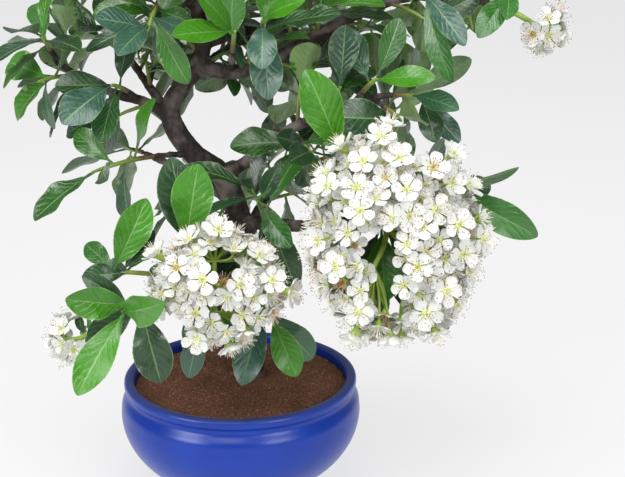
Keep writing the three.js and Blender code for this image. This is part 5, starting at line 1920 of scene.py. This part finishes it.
@dataclass
class FlowerHead:
    """One flower head: a stalk, a branch to the hub of each lobe, and flowers on their own stalks."""

    row: HeadRow
    seed: int
    room: float = 7.3
    layer: float = 1.3
    hub_depth: float = 0.5
    # The angle from its hub, in radians, at which a lobe has sunk by its lump
    lobe_spread: float = 0.6
    # The depth on the dome and the room of each layer of flowers between the first ones, how many
    # places are tried for each first flower, and their size
    fillers_at: tuple[Pair, ...] = ((0.93, 4.3), (0.8, 4.0))
    filler_tries: int = 5
    filler_size: float = 0.9
    # A draw above spent_from makes a flower spent.
    spent_from: float = 0.985
    spent_age: float = 1.1

    def __post_init__(self) -> None:
        """Places the head's flowers on its dome."""
        row = self.row
        self.draws, self.looks = Draws(self.seed), Draws(self.seed + LOOKS_SEED)
        self.shoot = Shoot(row.start, row.fork, row.woody)
        self.axis = unit(vec(row.axis))
        self.across = unit(cross(self.axis, UP))
        self.up = cross(self.across, self.axis)
        self.size = vec((row.radius, row.radius * row.tall, row.depth))
        self.ways = [vec((x, y, sqrt(1 - x * x - y * y))) for x, y in row.hubs]
        self.hubs = [self.on_dome(way, self.hub_depth) for way in self.ways]
        self.flowers: list[list[Flower]] = [[] for _ in row.hubs]
        self.fillers: list[Flower] = []
        self.collar: ShortShoot | None = None
        self.place_flowers()

    def turned(self, v: Vec) -> Vec:
        """Returns a vector that is given as (across, up, along the axis) of the head."""
        return self.across * v[0] + self.up * v[1] + self.axis * v[2]

    def on_dome(self, way: Vec, scale: float) -> Vec:
        """Returns the place at a scale of the dome in a direction (across, up, along the axis)."""
        return vec(self.row.middle) + self.turned(way * self.size * scale)

    def facing_at(self, way: Vec, lean: Vec) -> Vec:
        """Returns the way that a flower there looks, leant by a little."""
        return unit(self.turned(unit(way / self.size) + lean))

    def nearest_hub(self, way: Vec) -> int:
        """Returns the number of the hub that lies nearest to a direction."""
        return int(np.argmax([float(other @ way) for other in self.ways]))

    def is_bare(self, way: Vec) -> bool:
        """Tests whether a direction lies in one of the head's leafy gaps."""
        x, y, _ = way * self.size
        return any(hypot(x - gap_x, y - gap_y) < radius for gap_x, gap_y, radius in self.row.bare)

    def spiral(self, number: int, count: int) -> Vec:
        """Returns a direction of the golden spiral over the dome."""
        edge = 1 - cos(radians(self.row.open))
        z = 1 - edge * (number + 0.5) / count
        reach = sqrt(max(0.0, 1 - z * z))
        return vec((reach * cos(GOLDEN_ANGLE * number), reach * sin(GOLDEN_ANGLE * number), z))

    def place_flowers(self) -> None:
        """Places flowers along a spiral, each on the nearest hub and leaning away from it."""
        row = self.row
        taken: list[Vec] = []
        for i in range(row.count):
            way = self.spiral(i, row.count)
            lobe = self.nearest_hub(way)
            apart = acos(min(1, float(self.ways[lobe] @ way)))
            sunk = min(1.5, (apart / self.lobe_spread) ** 2)
            scale = 1 + row.lump * (0.5 - sunk) + 0.05 * (self.draws.next() - 0.5)
            centre = self.on_dome(way, scale * (1 + self.layer * ((i % 3) - 1) / row.radius))
            lean = (way - self.ways[lobe]) * (0.5 + 0.3 * self.draws.next())
            facing = self.facing_at(way, lean)
            spin = self.draws.next() * TURN
            if self.is_bare(way) or any(length_of(other - centre) < self.room for other in taken):
                continue
            taken.append(centre)
            self.flowers[lobe].append(self.aged(Flower(centre, facing, spin, self.hubs[lobe])))
        self.fill_between(taken)

    def fill_between(self, taken: list[Vec]) -> None:
        """Adds smaller flowers deeper in the dome, wherever the first ones leave a gap.

        Args:
            taken: The centres of the flowers so far, to which it adds its own.
        """
        row = self.row
        count = row.count * self.filler_tries
        for depth, room in self.fillers_at:
            for i in range(count):
                way = self.spiral(i, count)
                lobe = self.nearest_hub(way)
                centre = self.on_dome(way, depth - 1.2 / row.radius + 0.05 * self.looks.next())
                tilt = vec([self.looks.between(-0.4, 0.4) for _ in range(3)])
                facing = self.facing_at(way, (way - self.ways[lobe]) * 0.5 + tilt)
                spin = self.looks.next() * TURN
                if self.is_bare(way) or any(length_of(other - centre) < room for other in taken):
                    continue
                taken.append(centre)
                flower = self.aged(Flower(centre, facing, spin, self.hubs[lobe]))
                flower.size *= self.filler_size
                self.fillers.append(flower)

    def aged(self, flower: Flower) -> Flower:
        """Draws a flower's age and how far it is open."""
        flower.age = self.looks.next() ** 3
        flower.size = self.looks.between(0.92, 1.08)
        flower.lift = self.looks.between(-0.12, 0.22)
        flower.spent = self.looks.next() > self.spent_from
        if flower.spent:
            flower.age = self.spent_age
        return flower

    def stalk(self, steps: int = 2) -> Line:
        """Returns the head's green stalk."""
        return self.shoot.green(1, 0.9, steps)

    def branches(self) -> list[Line]:
        """Returns a branch from the fork to each hub."""
        return [Line([self.shoot.end, hub], [0.9, 0.7]) for hub in self.hubs]

    def samples(self) -> list[Vec]:
        """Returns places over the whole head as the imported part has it."""
        lines = [self.stalk(), *self.branches()]
        for hub, flowers in zip(self.hubs, self.flowers):
            lines += [Line([hub, flower.centre], [0, 0]) for flower in flowers]
        found = [place for line in lines for place in tube_samples(line)]
        return found + [place for flowers in self.flowers for flower in flowers for place in flower.samples()]

    def green_lines(self, flowers: Sequence[Flower]) -> list[Line]:
        """Returns the stalk, the bent branches and every flower's own stalk.

        Args:
            flowers: The flowers that have a stalk.

        Returns:
            The lines, each tapered.
        """
        lines = [self.stalk(8)]
        fork_way = unit(self.shoot.at(1) - self.shoot.at(0.8))
        for hub in self.hubs:
            bend = self.shoot.end + fork_way * (length_of(hub - self.shoot.end) * 0.4)
            lines.append(self.bent(self.shoot.end, bend, hub, (0.9, 0.75), 6))
        for flower in flowers:
            end = flower.centre - flower.facing * (1.9 * flower.size)
            bend = end - flower.facing * (length_of(end - flower.hub) * 0.45)
            lines.append(self.bent(flower.hub, bend, end, (0.42, 0.36), 5))
        return lines

    @staticmethod
    def bent(start: Vec, bend: Vec, end: Vec, radii: Pair, steps: int) -> Line:
        """Returns an arched line that tapers from the first to the second radius."""
        shares = [i / steps for i in range(steps + 1)]
        return Line([arched(start, bend, end, s) for s in shares], [mix(*radii, s) for s in shares])

    @staticmethod
    def centres(name: str, flowers: Sequence[Flower]) -> Piece:
        """Returns the flowers' centres as bare points with what each round of parts needs."""
        values = {label: np.array([getattr(flower, label) for flower in flowers], float)
                  for label in ("facing", "across", "size", "lift", "age")}
        return seeds(name, np.array([flower.centre for flower in flowers]), [], values)

    def build(self, dresser: Dresser, parts: "FlowerParts") -> None:
        """Makes the head's pieces: petals, threads, pollen sacs, hearts, cups and stalks.

        Args:
            parts: One of each part of a flower.
        """
        flowers = [flower for lobe in self.flowers for flower in lobe] + self.fillers
        fresh = [flower for flower in flowers if not flower.spent]
        finishes, growths = dresser.finishes, dresser.growths
        rounds = (
            ("petals", parts.petal, fresh, 5, (0.14, 0.09, 0.06), 21, finishes.petal, Slot.PETAL),
            ("threads", parts.thread, flowers, 20, (0.5, 0.12, 0.18), 31, finishes.thread, Slot.PETAL),
            ("pollen_sacs", parts.sac, flowers, 20, (0.5, 0.12, 0.18), 31, finishes.pollen, Slot.PETAL),
            ("hearts", parts.heart, flowers, 1, (0, 0, 0.05), 41, finishes.heart, Slot.PETAL),
            ("styles", parts.style, flowers, 5, (0.15, 0.1, 0.1), 51, finishes.heart, Slot.PETAL),
            ("cups", parts.cup, flowers, 1, (0, 0, 0.02), 61, finishes.stalk, Slot.LEAF),
            ("sepals", parts.sepal, flowers, 5, (0.1, 0.05, 0.05), 71, finishes.stalk, Slot.LEAF),
        )
        for label, part, borne, count, (lean, turn, size), seed, material, slot in rounds:
            name = f"{self.row.name}_{label}"
            piece = grow(name, self.centres(name + "_centres", borne), growths.rounds, {
                "Part": part, "Count": count, "Lean Spread": float(lean), "Turn Spread": float(turn),
                "Size Spread": float(size), "Seed": seed, "Material": material})
            dresser.declare(piece, slot, self.row.name)
        if self.collar and self.collar.leaves:
            skin = Skin()
            for leaf in self.collar.leaves:
                add_blade(skin, leaf, RULED_BLADE, self.collar.looks)
            collar = skin.make(self.row.name + "_collar", [finishes.leaf])
            dresser.declare(collar, Slot.LEAF, self.row.name)
        stalks = rods_piece(self.row.name + "_stalks", self.green_lines(flowers), 7, growths, finishes.stalk)
        dresser.declare(stalks, Slot.LEAF, self.row.name)


@dataclass
class FlowerParts:
    """One of each part of a firethorn flower, lying along +X from the flower's centre."""

    petal_start: float = 0.7
    petal_length: float = 4.15
    petal_half_width: float = 1.74
    petal_rows: int = 6
    petal_columns: int = 6
    thread_radius: float = 0.085
    thread_end: Pair = (2.75, 3.0)
    sac_radius: float = 0.19

    def __post_init__(self) -> None:
        """Makes the parts, which are hidden copies that the rounds place."""
        self.petal = self.make_petal()
        # A thread stands up and leans outwards.
        self.thread = self.make_tube("thread", 3, (
            (0.8, 0.1, 1.2), (1.15, 1.0, 1), (1.75, 1.9, 0.9), (*self.thread_end, 0.75)), self.thread_radius)
        self.style = self.make_tube("style", 4, ((0.2, 0.1, 0.13), (0.28, 0.6, 0.11), (0.42, 1.15, 0.15)))
        self.sepal = self.make_tube("sepal", 4, (
            (0.8, -0.45, 0.42), (1.35, -0.2, 0.36), (1.8, 0.0, 0.22), (2.15, 0.05, 0.04)))
        x, z = self.thread_end
        self.sac = self.make_turned("sac", [(0, -0.13), (self.sac_radius, 0), (0, 0.13)], 5,
                                    (x + 0.03, 0, z + 0.05))
        self.heart = self.make_turned(
            "heart", [(0, -0.5), (0.9, -0.45), (1.15, 0.05), (0.95, 0.3), (0, 0.18)], 10)
        self.cup = self.make_turned(
            "cup", [(0, -2.3), (0.42, -2.2), (0.85, -1.5), (1.15, -0.7), (1.1, -0.15), (0, -0.3)], 10)

    def make_petal(self) -> Piece:
        """Makes one round petal: narrow at its foot, cupped, with a faint notch and waved edge."""
        rows, columns = self.petal_rows, self.petal_columns
        s = np.power(np.linspace(0, 1, rows + 2)[1:-1], 0.85)
        upper, lower, marks = [], [], []
        for column in range(columns + 1):
            v = -cos(pi * column / columns)
            blade = np.power(np.sin(pi * np.power(s, 1.45)), 0.72)
            width = self.petal_half_width * blade + 0.16 * (1 - s)
            x = self.petal_start + self.petal_length * (s - 0.05 * s**5 * (1 - abs(v)) ** 2)
            height = 0.1 + 0.9 * s**1.7 + 0.55 * v * v * s + 0.16 * np.sin(7 * v + 1.5) * s**3
            thick = 0.07 * (1 - abs(v) ** 3)
            y = v * width
            upper.append(np.stack((x, y, height + thick), 1))
            lower.append(np.stack((x, y, height - thick), 1))
            marks.append(np.stack((np.full(rows, 0.5 + 0.5 * v), s), 1))
        ends = np.array(((self.petal_start - 0.25, 0, 0),
                         (self.petal_start + self.petal_length * 0.95, 0, 1.0)))
        points, uvs, faces, under = blade_shell(ends, upper, lower, marks)
        skin = Skin()
        skin.add(points, [face[::-1] for face in faces], uvs, under=under)
        return skin.make("petal_part")

    @staticmethod
    def make_tube(name: str, sides: int, rows: Sequence[tuple[float, float, float]],
                  girth: float = 1) -> Piece:
        """Makes a small part as a tube from (reach, height, radius) rows."""
        skin = Skin()
        points = [vec((x, 0, z)) for x, z, _ in rows]
        add_tube(skin, Line(points, [girth * radius for _, _, radius in rows]), sides)
        return skin.make(name + "_part")

    @staticmethod
    def make_turned(name: str, profile: Sequence[Pair], sides: int, at: Point = (0, 0, 0)) -> Piece:
        """Makes a small turned part from (radius, height) pairs."""
        skin = Skin()
        points, faces = lathe(profile, sides)
        skin.add(points + vec(at), faces)
        return skin.make(name + "_part")

    def clear(self) -> None:
        """Removes the copies once every head has its own."""
        for part in (self.petal, self.thread, self.sac, self.heart, self.style, self.cup, self.sepal):
            bpy.data.objects.remove(part)


@dataclass
class Bonsai:
    """The whole tree in its pot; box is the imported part's, in metres, and bounds the added leaves."""

    box: Sequence[Sequence[float]]
    head_seed: int = 101
    # Short shoots: how many leaves they have and what share is young, the steps that a limb is cut
    # into, the stretch of it that bears them, how far they reach, and how much they lean along the
    # limb and upwards
    short_seed: int = 200
    short_leaves: int = 6
    short_youth: float = 0.3
    limb_steps: int = 60
    stretch: Pair = (0.22, 0.96)
    reach: Pair = (9, 17)
    lean: Pair = (0.4, 0.45)
    # Collars: how many leaves they have and what share is young, how far behind the fork they start,
    # and their leaves' length and width as shares of the head's radius
    collar_seed: int = 300
    collar_leaves: int = 8
    collar_youth: float = 0.35
    collar_depth: float = 5
    collar_length: float = 0.95
    collar_width: float = 0.42

    def __post_init__(self) -> None:
        """Makes the finishes and the growths, and the room for the added leaves."""
        self.finishes, self.growths = Finishes(), Growths()
        low, high = (vec(corner) / MM for corner in self.box)
        self.crown = Crown(low, high, vec(Studio.camera_place) / MM)
        self.wood = Wood(self.finishes, self.growths)

    def lay_out(self) -> tuple[list[Spray], list[FlowerHead]]:
        """Gives every leaf and flower its place, fixed pieces first.

        Returns:
            The sprays and the flower heads.
        """
        sprays = [Spray(row, i + 1) for i, row in enumerate(SPRAYS)]
        heads = [FlowerHead(row, self.head_seed + i) for i, row in enumerate(HEADS)]
        grid = ClearanceGrid()
        coarse = self.wood.trunk(2 * (len(TRUNK_PATH) - 1))
        halves = [mix(TRUNK_RADII[i // 2], TRUNK_RADII[-(-i // 2)], 0.5) for i in range(len(coarse.points))]
        fixed = [Line(coarse.points, halves), *[self.wood.limb(row) for row in LIMBS]]
        fixed += [grown.shoot.spur() for grown in [*sprays, *heads]]
        fixed += [self.wood.thorn(*row) for row in THORNS]
        for line in fixed:
            grid.mark(tube_samples(line), "wood")
        for head in heads:
            grid.mark(head.samples(), head.row.name)
        for spray in sprays:
            grid.mark(tube_samples(spray.shoot.green(0.85, 0.65)), spray.row.name)
        for placing in (Spray.place_set, Spray.place_ruled):
            for spray in sprays:
                placing(spray, grid)
        self.fill_crown(grid, sprays)
        self.place_collars(grid, heads)
        LOG.info("%d leaves and %d flowers have their places", sum(len(s.leaves) for s in sprays),
                 sum(len(lobe) for head in heads for lobe in head.flowers))
        return sprays, heads

    def fill_crown(self, grid: ClearanceGrid, sprays: list[Spray]) -> None:
        """Grows short leafy shoots along the limbs, each beside the spray that it is nearest to.

        Args:
            grid: The room that is taken.
            sprays: The sprays, each of which keeps the short shoots near it.
        """
        seed = self.short_seed
        for row in [*LIMBS, CROWN_TRUNK]:
            path = centripetal([vec(p) for p in row.path], self.limb_steps)
            for i in range(row.short_shoots):
                share = mix(*self.stretch, i / max(1, row.short_shoots - 1))
                number = int(share * (self.limb_steps - 1))
                start = path[number]
                along = unit(path[number + 1] - start)
                draws = Draws(seed)
                around = unit(cross(along, vec((0.31, 0.95, 0.1))))
                out = turned(around, along, GOLDEN_ANGLE * i + draws.next())
                way = unit(out + along * self.lean[0] + UP * self.lean[1])
                end = start + way * draws.between(*self.reach)
                host = min(sprays, key=lambda spray: length_of(spray.shoot.at(0.6) - end))
                grown = SprayRow(host.row.name, tuple(start), tuple(end), self.short_leaves, self.short_youth)
                shoot = ShortShoot(grown, seed, crown=self.crown)
                shoot.place_ruled(grid)
                if shoot.leaves:
                    host.short_shoots.append(shoot)
                seed += 1

    def place_collars(self, grid: ClearanceGrid, heads: list[FlowerHead]) -> None:
        """Spreads leaves behind each flower head.

        Args:
            grid: The room that is taken.
            heads: The flower heads.
        """
        for number, head in enumerate(heads):
            fork = head.shoot.end
            row = SprayRow(head.row.name, tuple(fork - head.axis * self.collar_depth), tuple(fork),
                           self.collar_leaves, self.collar_youth)
            habit = replace(COLLAR_HABIT, length=head.row.radius * self.collar_length,
                            width=head.row.radius * self.collar_width)
            head.collar = ShortShoot(row, self.collar_seed + number, habit, crown=self.crown)
            head.collar.place_ruled(grid)

    def build(self) -> None:
        """Builds and dresses every piece."""
        dresser, wood = Dresser(self.finishes, self.growths), self.wood
        sprays, heads = self.lay_out()
        wood.build([grown.shoot for grown in [*sprays, *heads]])
        Pot(self.finishes, self.growths).build()
        DrainageScreen(self.finishes, self.growths).build()
        Soil(self.finishes, self.growths).build(wood.trunk(wood.trunk_steps), wood.shape)
        for spray in sprays:
            spray.build(dresser)
        parts = FlowerParts()
        for head in heads:
            head.build(dresser, parts)
        parts.clear()


# The studio


@dataclass(frozen=True)
class SoftBox:
    """A soft rectangular light, by its direction from the tree, its distance, size and power."""

    name: str
    azimuth: float
    elevation: float
    distance: float
    width: float
    height: float
    power: float

    def build(self, target: Vector) -> None:
        """Hangs the light so that it shines on a place.

        Args:
            target: The place, in metres.
        """
        lamp = bpy.data.lights.new(self.name, "AREA")
        lamp.shape = "RECTANGLE"
        lamp.size, lamp.size_y = self.width, self.height
        lamp.energy = self.power
        made = linked(self.name, lamp)
        around, above = radians(self.azimuth), radians(self.elevation)
        way = Vector((sin(around) * cos(above), -cos(around) * cos(above), sin(above)))
        made.location = target + way * self.distance
        made.rotation_mode = "QUATERNION"
        made.rotation_quaternion = way.to_track_quat("Z", "Y")


@dataclass
class Studio:
    """The white background, the lights and the camera."""

    camera_place: Point = (0.02505, -0.4161, 0.2178)
    camera_pitch: float = 17.1
    lens: float = 74.3
    paper_half: float = 4.0
    sky: float = 0.24
    boxes: tuple[SoftBox, ...] = (
        SoftBox("left softbox", -48, 22, 1.1, 0.45, 0.42, 5.8),
        SoftBox("right softbox", 38, 22, 1.1, 0.42, 0.4, 4.0),
        SoftBox("front softbox", -12, 45, 1.1, 0.5, 0.4, 4.2),
        SoftBox("overhead softbox", -10, 78, 1.2, 0.7, 0.7, 8.6),
    )
    aim: Point = (0, 0, 0.1)
    # The paper is lit from behind, which keeps it an even white.
    paper: Finish = MottledFinish(
        "white background paper", 0.9, light="#7c7c7c", dark="#808080", patch_mm=333, specular=0.1, glow=0.71)

    def build(self) -> None:
        """Sets up the studio."""
        camera = linked("camera", bpy.data.cameras.new("camera"))
        camera.location = self.camera_place
        camera.rotation_euler = (radians(90 - self.camera_pitch), 0, 0)
        camera.data.lens = self.lens
        camera.data.sensor_width = 36
        bpy.context.scene.camera = camera
        skin = Skin()
        corners = np.array([(-1, -1, 0), (1, -1, 0), (1, 1, 0), (-1, 1, 0)], float)
        skin.add(corners * (self.paper_half / MM), [(0, 1, 2, 3)])
        paper = skin.make("background_paper", [self.paper.material()])
        paper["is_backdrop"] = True
        for box in self.boxes:
            box.build(Vector(self.aim))
        world = bpy.data.worlds.new("white studio")
        world.use_nodes = True
        air = world.node_tree.nodes["Background"].inputs
        air["Color"].default_value, air["Strength"].default_value = (1, 1, 1, 1), self.sky
        bpy.context.scene.world = world
        bpy.context.scene.view_settings.view_transform = "Standard"


def main() -> None:
    """Loads the frame, measures its box, and builds the studio and the bonsai."""
    logging.basicConfig(level=logging.INFO, format="%(name)s: %(message)s")
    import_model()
    before = [list(corner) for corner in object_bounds()]
    Studio().build()
    Bonsai(before).build()


if __name__ == "__main__":
    main()
